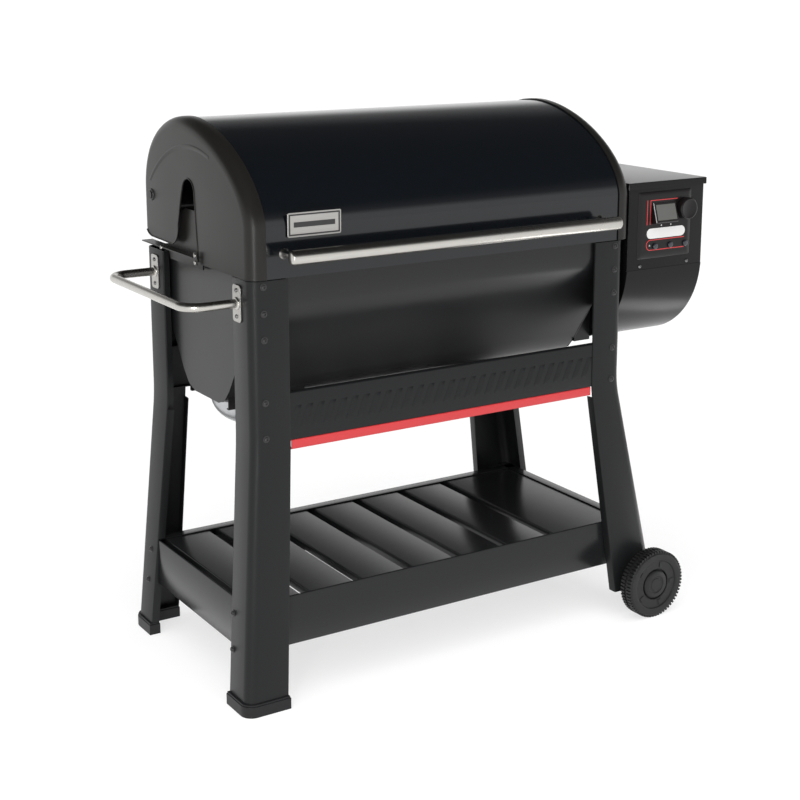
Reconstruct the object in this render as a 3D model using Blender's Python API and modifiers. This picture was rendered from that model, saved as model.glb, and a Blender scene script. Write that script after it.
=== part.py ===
"""Pellet smoker grill: barrel lid, cook box on four legs, side hopper with an auger, and two wheels.

Units are metres and +Z is up. Sizes below are measured from the middle of the cook box, at floor level.
One empty, "grill", moves everything so that the origin is the bottom centre of the whole object.
"""
import math

import bmesh
import bpy
from mathutils import Matrix, Vector

GAP = 0.0003                 # clearance between touching pieces
SHEET = 0.002                # sheet metal thickness

# Lid
LID_LEFT = -0.466
LID_RIGHT = 0.478             # the right end cap stands out further, towards the hopper
LID_HALF_DEPTH = 0.257
LID_BOTTOM = 0.886
LID_TOP = 1.177
LID_CREST_Y = 0.05
LID_FRONT_STRAIGHT = 0.984   # the front wall is upright up to here
LID_REAR_STRAIGHT = 1.010
CAP_RIM = 0.036              # how far an end cap wraps over the lid
CAP_ROUND = 0.020
SKIN_SET_IN = 0.003          # the skin lies this far under the caps' outer face
SKIN_LEFT, SKIN_RIGHT = -0.440, 0.4485
PIVOT_Y = 0.203
PIVOT_Z = 1.001
PIN_RADIUS = 0.005

# Cook box
BOX_HALF_DEPTH = 0.2445
BOX_TOP = 0.884
BOX_BEND = 0.835             # below this the front and rear walls lean in
BOX_FLOOR = 0.598
BOX_END = 0.4425             # inner face of an end plate
FLANGE_INNER_X = 0.3845
DRAIN_X = -0.345
BOWL_RADIUS = 0.082
BOWL_RIM = 0.0895
BOWL_DEPTH = 0.066
BOWL_TOP = 0.594
FLANGE_BOTTOM = 0.690

# Legs
LEG_X = 0.464                # outer side face of the upright part
LEG_X_INNER = 0.381          # inner edge of the front face
LEG_Y = {-1: 0.254, 1: 0.250}            # front and rear faces
LEG_Y_INNER = {-1: 0.173, 1: 0.160}      # inner edges of the side faces
LEG_LIP = 0.018
LEG_CORNER = 0.022
LEG_BEND = 0.555             # below this the legs splay out
SPLAY_X = {-1: 0.0721, 1: 0.216}         # outward slope of the left and right legs
SPLAY_X_INNER = {-1: 0.0515, 1: 0.139}
SPLAY_Y = {-1: 0.0446, 1: 0.0649}        # outward slope of the front and rear legs
SPLAY_Y_INNER = {-1: 0.0410, 1: 0.0811}
FOOT_HEIGHT = 0.028
RIGHT_LEG_END = 0.060

# Panels and lower shelf
PANEL_HALF = 0.4415
PANEL_TOP = 0.655
PANEL_BOTTOM = 0.5578
RAIL_HALF = 0.3795
RAIL_BOTTOM = 0.538
SHELF_TOP = 0.2275
SKIRT_BOTTOM = 0.1214
SHELF_LEFT = -0.485
SHELF_RIGHT = 0.5035
SHELF_FRONT = -0.248
SHELF_REAR = 0.212
SLAT_FIRST_X = -0.467
SLAT_PITCH = 0.1255
SLAT_GAP = 0.020
SLAT_COUNT = 7
SLAT_DEPTH = 0.017

# Wheels
WHEEL_X = 0.528
WHEEL_RADIUS = 0.080
WHEEL_INNER_Y = 0.294
WHEEL_OUTER_Y = 0.330
AXLE_RADIUS = 0.006

# Handles
SIDE_HANDLE_X = 0.572
SIDE_HANDLE_Y = 0.198
SIDE_HANDLE_Z = 0.835
SIDE_HANDLE_RADIUS = 0.0095
LID_BAR_Y = 0.305
LID_BAR_Z = 0.934
LID_BAR_RADIUS = 0.0145
LID_BAR_HALF = 0.405

# Hopper
HOPPER_LEFT = 0.489
HOPPER_RIGHT = 0.7125
HOPPER_FRONT = -0.235
HOPPER_REAR = 0.115
HOPPER_SEAM = 0.807
HOPPER_RIM = 0.999
HOPPER_LID_TOP = 1.006
HOPPER_LID_SKIRT = 0.991
HOPPER_LID_REACH = 0.0045    # how far the lid overhangs the box
COVER_ROUND = 0.200
AUGER_Y = 0.0
AUGER_Z = 0.672
AUGER_RADIUS = 0.022
BUTTON_X = 0.5665
BUTTON_PITCH = 0.0453
BUTTON_Z = 0.858

# Whole object, for the origin
X_LOW = -SIDE_HANDLE_X - SIDE_HANDLE_RADIUS
X_HIGH = HOPPER_RIGHT + HOPPER_LID_REACH
ORIGIN_X = (X_LOW + X_HIGH) / 2

BLACK = (0.012, 0.013, 0.015)
SATIN = (0.020, 0.020, 0.021)
STEEL = (0.62, 0.61, 0.59)
DARK_STEEL = (0.16, 0.16, 0.17)
GALVANISED = (0.55, 0.56, 0.57)
RED = (0.62, 0.030, 0.035)
PLASTIC = (0.018, 0.018, 0.019)
SCREEN = (0.030, 0.032, 0.035)


def clear_scene():
    for thing in list(bpy.data.objects):
        bpy.data.objects.remove(thing, do_unlink=True)


def new_collection(name):
    group = bpy.data.collections.new(name)
    bpy.context.scene.collection.children.link(group)
    return group


clear_scene()
PARTS = new_collection("pellet_smoker_grill")
CUTTERS = new_collection("cutters")
ROOT = bpy.data.objects.new("grill", None)
PARTS.objects.link(ROOT)
ROOT.location = (-ORIGIN_X, 0.0, 0.0)


def material(name, colour, roughness, metallic):
    paint = bpy.data.materials.new(name)
    paint.use_nodes = True
    shader = paint.node_tree.nodes["Principled BSDF"]
    shader.inputs["Base Color"].default_value = (*colour, 1.0)
    shader.inputs["Roughness"].default_value = roughness
    shader.inputs["Metallic"].default_value = metallic
    return paint


def keep(mesh_object, colour, roughness=0.45, metallic=0.0, parent=None):
    """Files an object with the parts, gives it its own material and hangs it on its parent."""
    for group in list(mesh_object.users_collection):
        group.objects.unlink(mesh_object)
    PARTS.objects.link(mesh_object)
    mesh_object.parent = parent or ROOT
    mesh_object.data.materials.clear()
    mesh_object.data.materials.append(material(mesh_object.name, colour, roughness, metallic))
    return mesh_object


def mesh_object(name, bm, smooth=False):
    bmesh.ops.recalc_face_normals(bm, faces=bm.faces)
    mesh = bpy.data.meshes.new(name)
    bm.to_mesh(mesh)
    bm.free()
    if smooth:
        mesh.shade_smooth()
        mesh.set_sharp_from_angle(angle=math.radians(35))
    thing = bpy.data.objects.new(name, mesh)
    PARTS.objects.link(thing)
    return thing


def box(name, low, high):
    """A box between two corners."""
    bm = bmesh.new()
    low, high = Vector(low), Vector(high)
    middle = (low + high) / 2
    size = high - low
    bmesh.ops.create_cube(bm, size=1.0, matrix=Matrix.Translation(middle) @ Matrix.Diagonal((*size, 1.0)))
    return mesh_object(name, bm)


AXIS_TURN = {
    "X": Matrix.Rotation(math.radians(90), 4, "Y"),
    "Y": Matrix.Rotation(math.radians(90), 4, "X"),
    "Z": Matrix.Identity(4),
}


def rod(name, centre, axis, radius, length, sides=24, end_radius=None):
    """A cylinder or cone centred on a point, along X, Y or Z."""
    bm = bmesh.new()
    other = radius if end_radius is None else end_radius
    matrix = Matrix.Translation(centre) @ AXIS_TURN[axis]
    bmesh.ops.create_cone(bm, cap_ends=True, segments=sides, radius1=radius, radius2=other,
                          depth=length, matrix=matrix)
    return mesh_object(name, bm, smooth=True)


def prism(name, outline, low, high, place):
    """A closed outline pushed from low to high. place(a, b, height) gives the point in space."""
    bm = bmesh.new()
    face = bm.faces.new([bm.verts.new(place(a, b, low)) for a, b in outline])
    pushed = bmesh.ops.extrude_face_region(bm, geom=[face])["geom"]
    step = Vector(place(0, 0, high)) - Vector(place(0, 0, low))
    bmesh.ops.translate(bm, vec=step, verts=[v for v in pushed if isinstance(v, bmesh.types.BMVert)])
    return mesh_object(name, bm)


def on_side(y, z, x):
    return (x, y, z)


def on_floor(x, y, z):
    return (x, y, z)


def on_front(x, z, y):
    return (x, y, z)


def face_outwards(bm, inside):
    """Turns an open surface so that most of its area faces away from a point."""
    bmesh.ops.recalc_face_normals(bm, faces=bm.faces)
    bm.normal_update()
    away = sum(face.calc_area() * face.normal.dot(face.calc_center_median() - Vector(inside))
               for face in bm.faces)
    if away < 0:
        bmesh.ops.reverse_faces(bm, faces=bm.faces)


def swept_sheet(name, stations, inside, thickness=SHEET):
    """An open line carried through stations, then made a sheet that thickens towards inside."""
    bm = bmesh.new()
    rows = [[bm.verts.new(point) for point in station] for station in stations]
    for near, far in zip(rows, rows[1:]):
        for i in range(len(near) - 1):
            bm.faces.new((near[i], near[i + 1], far[i + 1], far[i]))
    face_outwards(bm, inside)
    mesh = bpy.data.meshes.new(name)
    bm.to_mesh(mesh)
    bm.free()
    thing = bpy.data.objects.new(name, mesh)
    PARTS.objects.link(thing)
    thicken(thing, thickness)
    return thing


def thicken(thing, thickness):
    solid = thing.modifiers.new("thickness", "SOLIDIFY")
    solid.thickness = thickness
    solid.offset = -1.0
    solid.use_even_offset = True


def along_x(profile, x0, x1):
    return [[(x, y, z) for y, z in profile] for x in (x0, x1)]


def arc(centre, radius, start, end, steps):
    """Points on a circle, by angle in degrees from the first axis towards the second."""
    for i in range(steps + 1):
        angle = math.radians(start + (end - start) * i / steps)
        yield (centre[0] + radius * math.cos(angle), centre[1] + radius * math.sin(angle))


def join(target, tool, operation="UNION"):
    """Cuts or joins with an exact Boolean. The tool is kept as a hidden cutter."""
    for group in list(tool.users_collection):
        group.objects.unlink(tool)
    CUTTERS.objects.link(tool)
    tool.parent = target.parent if target.parent else ROOT
    tool.hide_render = True
    tool.display_type = "WIRE"
    change = target.modifiers.new(operation.lower(), "BOOLEAN")
    change.operation = operation
    change.solver = "EXACT"
    change.object = tool


def cut(target, tool):
    join(target, tool, "DIFFERENCE")


def tube(name, points, radius, sides=3, cyclic=False):
    """A round bar along a path, with capped ends, as a closed mesh."""
    line = bpy.data.curves.new(name, "CURVE")
    line.dimensions = "3D"
    line.bevel_depth = radius
    line.bevel_resolution = sides
    line.use_fill_caps = True
    spline = line.splines.new("POLY")
    spline.points.add(len(points) - 1)
    for place, point in zip(spline.points, points):
        place.co = (*point, 1.0)
    spline.use_cyclic_u = cyclic
    guide = bpy.data.objects.new(name, line)
    PARTS.objects.link(guide)
    bpy.context.view_layer.update()
    ready = guide.evaluated_get(bpy.context.evaluated_depsgraph_get())
    mesh = bpy.data.meshes.new_from_object(ready)
    bm = bmesh.new()
    bm.from_mesh(mesh)
    bmesh.ops.remove_doubles(bm, verts=bm.verts, dist=0.00001)
    bmesh.ops.recalc_face_normals(bm, faces=bm.faces)
    bm.to_mesh(mesh)
    bm.free()
    place = guide.matrix_world.copy()
    bpy.data.objects.remove(guide)
    bpy.data.curves.remove(line)
    thing = bpy.data.objects.new(name, mesh)
    thing.matrix_world = place
    PARTS.objects.link(thing)
    return thing


def turned(name, profile, centre, axis_y_sign, steps=40):
    """A profile of (radius, distance along the axle) turned about the Y direction."""
    bm = bmesh.new()
    verts = [bm.verts.new((radius, 0.0, along)) for radius, along in profile]
    for pair in zip(verts, verts[1:] + verts[:1]):
        bm.edges.new(pair)
    mesh = bpy.data.meshes.new(name)
    bm.to_mesh(mesh)
    bm.free()
    thing = bpy.data.objects.new(name, mesh)
    PARTS.objects.link(thing)
    spin = thing.modifiers.new("turn", "SCREW")
    spin.steps = steps
    spin.render_steps = steps
    spin.use_merge_vertices = True
    spin.merge_threshold = 0.00005
    spin.use_normal_calculate = True
    thing.location = centre
    thing.rotation_euler = (math.radians(90 * axis_y_sign), 0.0, 0.0)
    return thing


def pivot(name, place):
    """An empty on a joint's axis."""
    empty = bpy.data.objects.new(name, None)
    PARTS.objects.link(empty)
    empty.parent = ROOT
    empty.location = place
    return empty


def hang(thing, empty):
    """Parents an object to a joint's empty without moving it."""
    thing.parent = empty
    thing.location = Vector(thing.location) - empty.location


# ---------------------------------------------------------------- lid


def lid_profile(inset=0.0, bottom=LID_BOTTOM, rear_bottom=LID_BOTTOM, steps=9):
    """Side view of the lid from the front bottom edge over the crest to the rear bottom edge."""
    front_span = LID_HALF_DEPTH + LID_CREST_Y - inset
    front_rise = LID_TOP - LID_FRONT_STRAIGHT - inset
    rear_span = LID_HALF_DEPTH - LID_CREST_Y - inset - 0.004
    rear_rise = LID_TOP - LID_REAR_STRAIGHT - inset
    points = [(LID_CREST_Y - front_span, bottom)]
    for i in range(steps):
        angle = math.radians(90 * i / steps)
        points.append((LID_CREST_Y - front_span * math.cos(angle) ** (2 / 1.7),
                       LID_FRONT_STRAIGHT + front_rise * math.sin(angle) ** (2 / 1.7)))
    for i in range(steps + 1):
        angle = math.radians(90 * i / steps)
        points.append((LID_CREST_Y + rear_span * math.sin(angle) ** (2 / 2.2),
                       LID_REAR_STRAIGHT + rear_rise * math.cos(angle) ** (2 / 2.2)))
    points.append((LID_CREST_Y + rear_span, rear_bottom))
    return points


def slot_outline():
    """The open-bottomed slot in an end cap, with the raised rear corner beside it."""
    yield (-0.027, LID_BOTTOM - 0.01)
    yield (-0.018, 0.975)
    yield from arc((0.0145, 1.0265), 0.029, 180, 20, 7)
    yield (0.0580, 0.9910)
    yield (0.0675, 0.9570)
    yield from arc((0.108, 0.9480), 0.039, 175, 270, 4)
    yield from arc((0.205, 0.951), 0.040, 270, 358, 5)
    yield (0.300, 0.951)
    yield (0.300, LID_BOTTOM - 0.01)


def end_cap(name, side):
    """A pressed end cap: flat plate, rounded edge and a rim that wraps over the lid skin."""
    outer = LID_LEFT if side < 0 else LID_RIGHT
    rings = [(outer - side * CAP_RIM, 0.0)]
    for angle in (0, 30, 60, 90):
        turn = math.radians(angle)
        rings.append((outer - side * CAP_ROUND * (1 - math.sin(turn)), CAP_ROUND * (1 - math.cos(turn))))
    stations = [[(x, y, z) for y, z in lid_profile(inset)] for x, inset in rings]
    bm = bmesh.new()
    rows = [[bm.verts.new(point) for point in station] for station in stations]
    for near, far in zip(rows, rows[1:]):
        for i in range(len(near) - 1):
            bm.faces.new((near[i], near[i + 1], far[i + 1], far[i]))
    bm.faces.new(rows[-1])
    bmesh.ops.recalc_face_normals(bm, faces=bm.faces)
    plate = max(bm.faces, key=lambda face: len(face.verts))
    if plate.normal.x * side < 0:
        bmesh.ops.reverse_faces(bm, faces=bm.faces)
    mesh = bpy.data.meshes.new(name)
    bm.to_mesh(mesh)
    bm.free()
    cap = bpy.data.objects.new(name, mesh)
    PARTS.objects.link(cap)
    thicken(cap, SHEET)
    low, high = sorted((outer + side * 0.01, outer - side * (CAP_RIM + 0.01)))
    cut(cap, prism(name + "_slot_cutter", list(slot_outline()), low, high, on_side))
    rim = sorted((outer - side * (SHEET + 0.0006), outer - side * (CAP_RIM + 0.01)))
    cut(cap, box(name + "_rear_rim_cutter", (rim[0], 0.200, 0.85), (rim[1], 0.300, 0.978)))
    hole = rod(name + "_pin_hole_cutter", (outer, PIVOT_Y, PIVOT_Z), "X", PIN_RADIUS + GAP, 0.03, 24)
    cut(cap, hole)
    return cap


def make_lid():
    hinge = pivot("lid_hinge", (0.0, PIVOT_Y, PIVOT_Z))
    skin = swept_sheet("lid_skin", along_x(lid_profile(SKIN_SET_IN, LID_BOTTOM, 0.905), SKIN_LEFT, SKIN_RIGHT),
                       (0.0, 0.0, 1.0))
    keep(skin, BLACK, 0.12, 0.0, hinge)
    left = keep(end_cap("lid_left_cap", -1), SATIN, 0.38, 0.0, hinge)
    right = keep(end_cap("lid_right_cap", 1), SATIN, 0.38, 0.0, hinge)
    for piece in (skin, left, right):
        piece.location = -hinge.location
    for piece in (left, right):
        for change in piece.modifiers:
            if change.type == "BOOLEAN":
                change.object.parent = hinge
                change.object.location = -hinge.location
    handle = lid_handle()
    keep(handle, STEEL, 0.28, 1.0, hinge)
    badge = box("badge_plate", (-0.385, -0.2605, 0.9645), (-0.266, -0.2573, 1.0125))
    keep(badge, STEEL, 0.35, 1.0, hinge)
    for piece in (handle, badge):
        piece.location = Vector(piece.location) - hinge.location
    for change in handle.modifiers:
        change.object.parent = hinge
        change.object.location = -hinge.location


def lid_handle():
    """A round bar with domed ends on two standoffs."""
    dome = 0.006
    ends = [(-LID_BAR_HALF, 0.55), (-LID_BAR_HALF + dome * 0.4, 0.85), (-LID_BAR_HALF + dome, 1.0)]
    profile = [(LID_BAR_RADIUS * scale, x) for x, scale in ends]
    bm = bmesh.new()
    rings = []
    for radius, x in profile + [(radius, -x) for radius, x in reversed(profile)]:
        ring = bmesh.ops.create_circle(bm, segments=16, radius=radius,
                                       matrix=Matrix.Translation((x, -LID_BAR_Y, LID_BAR_Z)) @ AXIS_TURN["X"])
        rings.append(ring["verts"])
    for near, far in zip(rings, rings[1:]):
        for i in range(16):
            j = (i + 1) % 16
            bm.faces.new((near[i], near[j], far[j], far[i]))
    bm.faces.new(rings[0])
    bm.faces.new(rings[-1])
    bar = mesh_object("lid_handle", bm, smooth=True)
    skin_front = LID_HALF_DEPTH - SKIN_SET_IN + GAP
    for side in (-1, 1):
        length = LID_BAR_Y - skin_front
        centre = (side * 0.390, -(LID_BAR_Y + skin_front) / 2, LID_BAR_Z)
        join(bar, rod(f"lid_standoff_{'left' if side < 0 else 'right'}", centre, "Y", 0.0065, length, 12))
    return bar


# ---------------------------------------------------------------- cook box


def box_half_profile(grow=0.0):
    """Front half of the cook box in side view, from the rim to the middle of the floor."""
    yield (-BOX_HALF_DEPTH - grow, BOX_TOP)
    yield (-BOX_HALF_DEPTH - grow, BOX_BEND + 0.02)
    yield (-BOX_HALF_DEPTH + 0.006 - grow, BOX_BEND - 0.01)
    yield (-0.128 - grow, 0.664)
    yield (-0.108 - grow * 0.9, 0.6335)
    yield (-0.087 - grow * 0.6, 0.6105 - grow * 0.5)
    yield (-0.058, BOX_FLOOR + 0.001 - grow)


def box_profile(grow=0.0):
    front = list(box_half_profile(grow))
    return front + [(-y, z) for y, z in reversed(front)]


def end_plate(name, side):
    """Cook box end plate, with two flanges that the legs bolt through."""
    near, far = sorted((side * BOX_END, side * (BOX_END + SHEET)))
    plate = prism(name, box_profile(0.001), near, far, on_side)
    for depth in (-1, 1):
        y0, y1 = sorted((depth * (BOX_HALF_DEPTH + GAP), depth * (BOX_HALF_DEPTH + GAP + SHEET)))
        x0, x1 = sorted((side * FLANGE_INNER_X, side * (BOX_END + SHEET)))
        label = "front" if depth < 0 else "rear"
        join(plate, box(f"{name}_{label}_flange", (x0, y0, FLANGE_BOTTOM), (x1, y1, BOX_TOP)))
    return plate


def bowl_rail(wrap, depth):
    """A hanger with a ledge under the cook box, on which the grease bowl's rim slides."""
    label = "front" if depth < 0 else "rear"
    x0, x1 = -BOX_END + 0.003, -0.262
    wall = sorted((depth * 0.0915, depth * 0.0935))
    ledge = sorted((depth * 0.0845, depth * 0.0925))
    join(wrap, box(f"rail_wall_{label}", (x0, wall[0], 0.5895), (x1, wall[1], 0.6189)))
    join(wrap, box(f"rail_ledge_{label}", (x0, ledge[0], 0.5895), (x1, ledge[1], 0.5920)))


def hopper_mount(plate):
    """A hood on the right end plate that carries the hopper. It is open below."""
    x0, x1 = BOX_END + SHEET / 2, HOPPER_LEFT - GAP
    y0, y1 = -0.110, 0.100
    z0, z1 = 0.6260, 0.7400
    join(plate, box("hopper_mount", (x0, y0, z0), (x1, y1, z1)))
    cut(plate, box("hopper_mount_cutter", (BOX_END + SHEET + 0.001, y0 + SHEET, z0 - 0.04),
                   (x1 - SHEET, y1 - SHEET, z1 - SHEET)))


def make_cook_box():
    wrap = swept_sheet("cook_box", along_x(box_profile(), -BOX_END + GAP, BOX_END - GAP), (0.0, 0.0, 0.9))
    cut(wrap, rod("drain_cutter", (DRAIN_X, 0.0, BOX_FLOOR), "Z", 0.016, 0.05, 16))
    for depth in (-1, 1):
        bowl_rail(wrap, depth)
    keep(wrap, SATIN, 0.30)
    for name, side in (("cook_box_left_end", -1), ("cook_box_right_end", 1)):
        plate = end_plate(name, side)
        if side > 0:
            hopper_mount(plate)
            hole = (BOX_END + 0.02, AUGER_Y, AUGER_Z)
            cut(plate, rod("auger_hole_cutter", hole, "X", AUGER_RADIUS + 0.0045, 0.09, 24))
        keep(plate, SATIN, 0.40)


def hinge_plate(name, side):
    """A bracket that stands on the cook box end and carries the lid's pivot pin."""
    near, far = sorted((side * 0.4500, side * 0.4530))
    outline = [(-0.018, 0.870), (0.145, 0.870), (0.160, 0.925), *arc((PIVOT_Y, PIVOT_Z), 0.012, -40, 150, 6),
               (0.120, 0.962), (0.060, 0.988), (-0.010, 0.988)]
    plate = prism(name, outline, near, far, on_side)
    low, high = sorted((side * 0.4500, side * 0.4745))
    join(plate, box(name + "_ledge", (low, -0.0150, 0.8955), (high, 0.2440, 0.8980)))
    reach = (LID_RIGHT if side > 0 else -LID_LEFT) + 0.0035
    join(plate, rod(name + "_pin", (side * (0.4515 + reach) / 2, PIVOT_Y, PIVOT_Z), "X", PIN_RADIUS,
                    reach - 0.4515, 16))
    join(plate, rod(name + "_head", (side * (reach - 0.0005), PIVOT_Y, PIVOT_Z), "X", 0.009, 0.0035, 16))
    return plate


def grate(name, low, high, bars, bar_width, depth):
    """A cooking grate as one plate with long slots between its bars."""
    x0, y0 = low
    x1, y1 = high
    edge = 0.008
    pitch = (x1 - x0 - 2 * edge + bar_width) / bars
    xs = [x0, x0 + edge]
    for i in range(1, bars):
        centre = x0 + edge + pitch * i - bar_width / 2
        xs += [centre - bar_width / 2, centre + bar_width / 2]
    xs += [x1 - edge, x1]
    ys = [y0, y0 + edge, y1 - edge, y1]
    bm = bmesh.new()
    grid = [[bm.verts.new((x, y, depth)) for y in ys] for x in xs]
    for i in range(len(xs) - 1):
        is_slot = i % 2 == 1
        for j in range(3):
            if is_slot and j == 1:
                continue
            bm.faces.new((grid[i][j], grid[i + 1][j], grid[i + 1][j + 1], grid[i][j + 1]))
    for face in bm.faces:
        if face.normal.z < 0:
            face.normal_flip()
    mesh = bpy.data.meshes.new(name)
    bm.to_mesh(mesh)
    bm.free()
    thing = bpy.data.objects.new(name, mesh)
    PARTS.objects.link(thing)
    thicken(thing, 0.006)
    return thing


def make_inside():
    keep(grate("cooking_grate", (-0.430, -0.238), (0.430, 0.238), 36, 0.007, 0.840), DARK_STEEL, 0.5, 0.6)
    rack = grate("warming_rack", (-0.380, -0.190), (0.380, 0.050), 24, 0.006, 1.000)
    for side in (-1, 1):
        for y in (-0.186, 0.046):
            foot = box(f"rack_leg_{side}_{y}", (side * 0.376 - 0.004, y - 0.004, 0.8405),
                       (side * 0.376 + 0.004, y + 0.004, 0.997))
            join(rack, foot)
    keep(rack, DARK_STEEL, 0.5, 0.6)
    tray = [(-0.160, 0.762), (-0.150, 0.748), (0.0, 0.764), (0.150, 0.748), (0.160, 0.762)]
    keep(swept_sheet("drip_tray", along_x(tray, -0.425, 0.425), (0.0, 0.0, 0.0)), DARK_STEEL, 0.5, 0.5)
    pot_radius, pot_height, wall = 0.052, 0.099, 0.003
    outline = [(0.0, wall), (pot_radius - wall, wall), (pot_radius - wall, pot_height), (pot_radius, pot_height),
               (pot_radius, 0.0), (0.0, 0.0)]
    firepot = spun_about_z("firepot", outline, 28)
    firepot.location = (0.0, AUGER_Y, 0.6035)
    cut(firepot, rod("firepot_feed_cutter", (0.04, AUGER_Y, AUGER_Z), "X", AUGER_RADIUS + 0.0045, 0.06, 20))
    keep(firepot, DARK_STEEL, 0.6, 0.6)
    probe = rod("chamber_probe", (0.400, 0.120, 0.800), "X", 0.003, 0.084, 12)
    keep(probe, STEEL, 0.3, 1.0)


def spun_about_z(name, outline, steps):
    """A (radius, height) line turned about Z."""
    bm = bmesh.new()
    verts = [bm.verts.new((radius, 0.0, z)) for radius, z in outline]
    for pair in zip(verts, verts[1:]):
        bm.edges.new(pair)
    mesh = bpy.data.meshes.new(name)
    bm.to_mesh(mesh)
    bm.free()
    thing = bpy.data.objects.new(name, mesh)
    PARTS.objects.link(thing)
    spin = thing.modifiers.new("turn", "SCREW")
    spin.steps = steps
    spin.render_steps = steps
    spin.use_merge_vertices = True
    spin.merge_threshold = 0.00005
    return thing


def make_grease_bowl():
    """A round-bottomed bowl under the drain. Its rim slides out to the left along two rails."""
    slide = pivot("grease_bowl_slide", (DRAIN_X, 0.0, BOWL_TOP))
    angles = [math.radians(angle) for angle in (0, 15, 30, 45, 60, 75, 86)]
    outer = [(BOWL_RADIUS * math.sin(a), -BOWL_DEPTH * math.cos(a)) for a in angles]
    inner = [((BOWL_RADIUS - SHEET) * math.sin(a), -(BOWL_DEPTH - SHEET) * math.cos(a)) for a in angles]
    rim = [(BOWL_RADIUS - SHEET, 0.0), (BOWL_RIM, 0.0), (BOWL_RIM, -0.0015), (BOWL_RADIUS, -0.0015)]
    bowl = spun_about_z("grease_bowl", inner + rim + list(reversed(outer)), 32)
    keep(bowl, GALVANISED, 0.35, 0.8, slide)


# ---------------------------------------------------------------- legs, panels and shelf


def leg_section(x_out, x_in, y_out, y_in, z):
    """Plan of a leg: two faces with a rounded corner, and a lip on each free edge."""
    sx = 1 if x_out > 0 else -1
    sy = 1 if y_out > 0 else -1
    points = [(x_out - sx * LEG_LIP, y_in), (x_out, y_in)]
    for i in range(5):
        turn = math.radians(90 * i / 4)
        points.append((x_out - sx * LEG_CORNER * (1 - math.cos(turn)),
                       y_out - sy * LEG_CORNER * (1 - math.sin(turn))))
    points += [(x_in, y_out), (x_in, y_out - sy * LEG_LIP)]
    return [(x, y, z) for x, y in points]


def leg_sizes(side, depth, z):
    """Outer and inner distances of a leg's faces from the middle, at a height."""
    drop = max(LEG_BEND - z, 0.0)
    return (LEG_X + SPLAY_X[side] * drop, LEG_X_INNER + SPLAY_X_INNER[side] * drop,
            LEG_Y[depth] + SPLAY_Y[depth] * drop, LEG_Y_INNER[depth] + SPLAY_Y_INNER[depth] * drop)


def lip_cutter(name, side, depth, x_span, y_span, z_span):
    """A box over a stretch of a leg's lip, given as distances from the middle."""
    xs = sorted(side * x for x in x_span)
    ys = sorted(depth * y for y in y_span)
    return box(name, (xs[0], ys[0], z_span[0]), (xs[1], ys[1], z_span[1]))


def leg(name, side, depth):
    """An open channel. Its lips stop short where the cook box, the panels and the skirts pass."""
    end = RIGHT_LEG_END if side > 0 else FOOT_HEIGHT + GAP
    stations = []
    for z in (BOX_TOP, LEG_BEND + 0.03, LEG_BEND - 0.02, end):
        x_out, x_in, y_out, y_in = leg_sizes(side, depth, z)
        stations.append(leg_section(side * x_out, side * x_in, depth * y_out, depth * y_in, z))
    channel = swept_sheet(name, stations, (0.0, 0.0, 0.5))
    face = LEG_Y[depth] - SHEET - GAP
    cut(channel, lip_cutter(name + "_lip_cutter", side, depth, (0.370, 0.3880), (0.15, face), (0.532, 0.9)))
    side_y = LEG_Y_INNER[depth]
    side_face = LEG_X - SHEET - GAP
    cut(channel, lip_cutter(name + "_box_cutter", side, depth, (0.43, side_face),
                            (side_y - 0.01, side_y + 0.0025), (0.532, 0.9)))
    if side < 0:
        cut(channel, lip_cutter(name + "_skirt_cutter", side, depth, (0.46, -SHELF_LEFT + GAP),
                                (side_y, side_y + 0.045), (SKIRT_BOTTOM - 0.003, SHELF_TOP + 0.003)))
    return channel


def foot(name, side, depth):
    """An L-shaped plastic shoe under a leg, a little larger than the leg all round."""
    x_out, x_in, y_out, y_in = leg_sizes(side, depth, 0.0)
    grow = 0.004
    x_far, x_near = side * (x_out + grow), side * (x_in - grow)
    y_far, y_near = y_out + grow, y_in - grow
    wide = LEG_LIP + 2 * grow
    corner = LEG_CORNER + grow
    outline = [(x_near, depth * y_far)]
    centre = (x_far - side * corner, y_far - corner)
    for i in range(5):
        turn = math.radians(90 * i / 4)
        outline.append((centre[0] + side * corner * math.sin(turn), depth * (centre[1] + corner * math.cos(turn))))
    outline += [(x_far, depth * y_near), (x_far - side * wide, depth * y_near),
                (x_far - side * wide, depth * (y_far - wide)), (x_near, depth * (y_far - wide))]
    return prism(name, outline, 0.0, FOOT_HEIGHT, on_floor)


def make_legs():
    axle_hole = 0.0063
    for side, side_name in ((-1, "left"), (1, "right")):
        for depth, depth_name in ((-1, "front"), (1, "rear")):
            name = f"{depth_name}_{side_name}"
            piece = keep(leg(name + "_leg", side, depth), SATIN, 0.42)
            if side > 0:
                hole = (WHEEL_X, depth * 0.26, WHEEL_RADIUS)
                cut(piece, rod(name + "_axle_hole_cutter", hole, "Y", axle_hole, 0.08, 20))
            else:
                keep(foot(name + "_foot", side, depth), PLASTIC, 0.6)


def folded_strip(name, x0, x1, y_face, z0, z1, depth, lip):
    """A strip seen from the front, with a lip folded inwards along its top and bottom."""
    inward = -depth * lip
    profile = [(y_face + inward, z0), (y_face, z0), (y_face, z1), (y_face + inward, z1)]
    return swept_sheet(name, along_x(profile, x0, x1), (0.0, 0.0, (z0 + z1) / 2))


def make_panels():
    for depth, name in ((-1, "front"), (1, "rear")):
        face = depth * (LEG_Y[depth] - SHEET - GAP)
        panel = folded_strip(name + "_panel", -PANEL_HALF, PANEL_HALF, face, PANEL_BOTTOM, PANEL_TOP, depth, 0.015)
        keep(panel, SATIN, 0.42)
    face = -(LEG_Y[-1] - SHEET - GAP)
    rail = folded_strip("accent_rail", -RAIL_HALF, RAIL_HALF, face, RAIL_BOTTOM, PANEL_BOTTOM - GAP, -1, 0.012)
    keep(rail, RED, 0.35)


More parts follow.
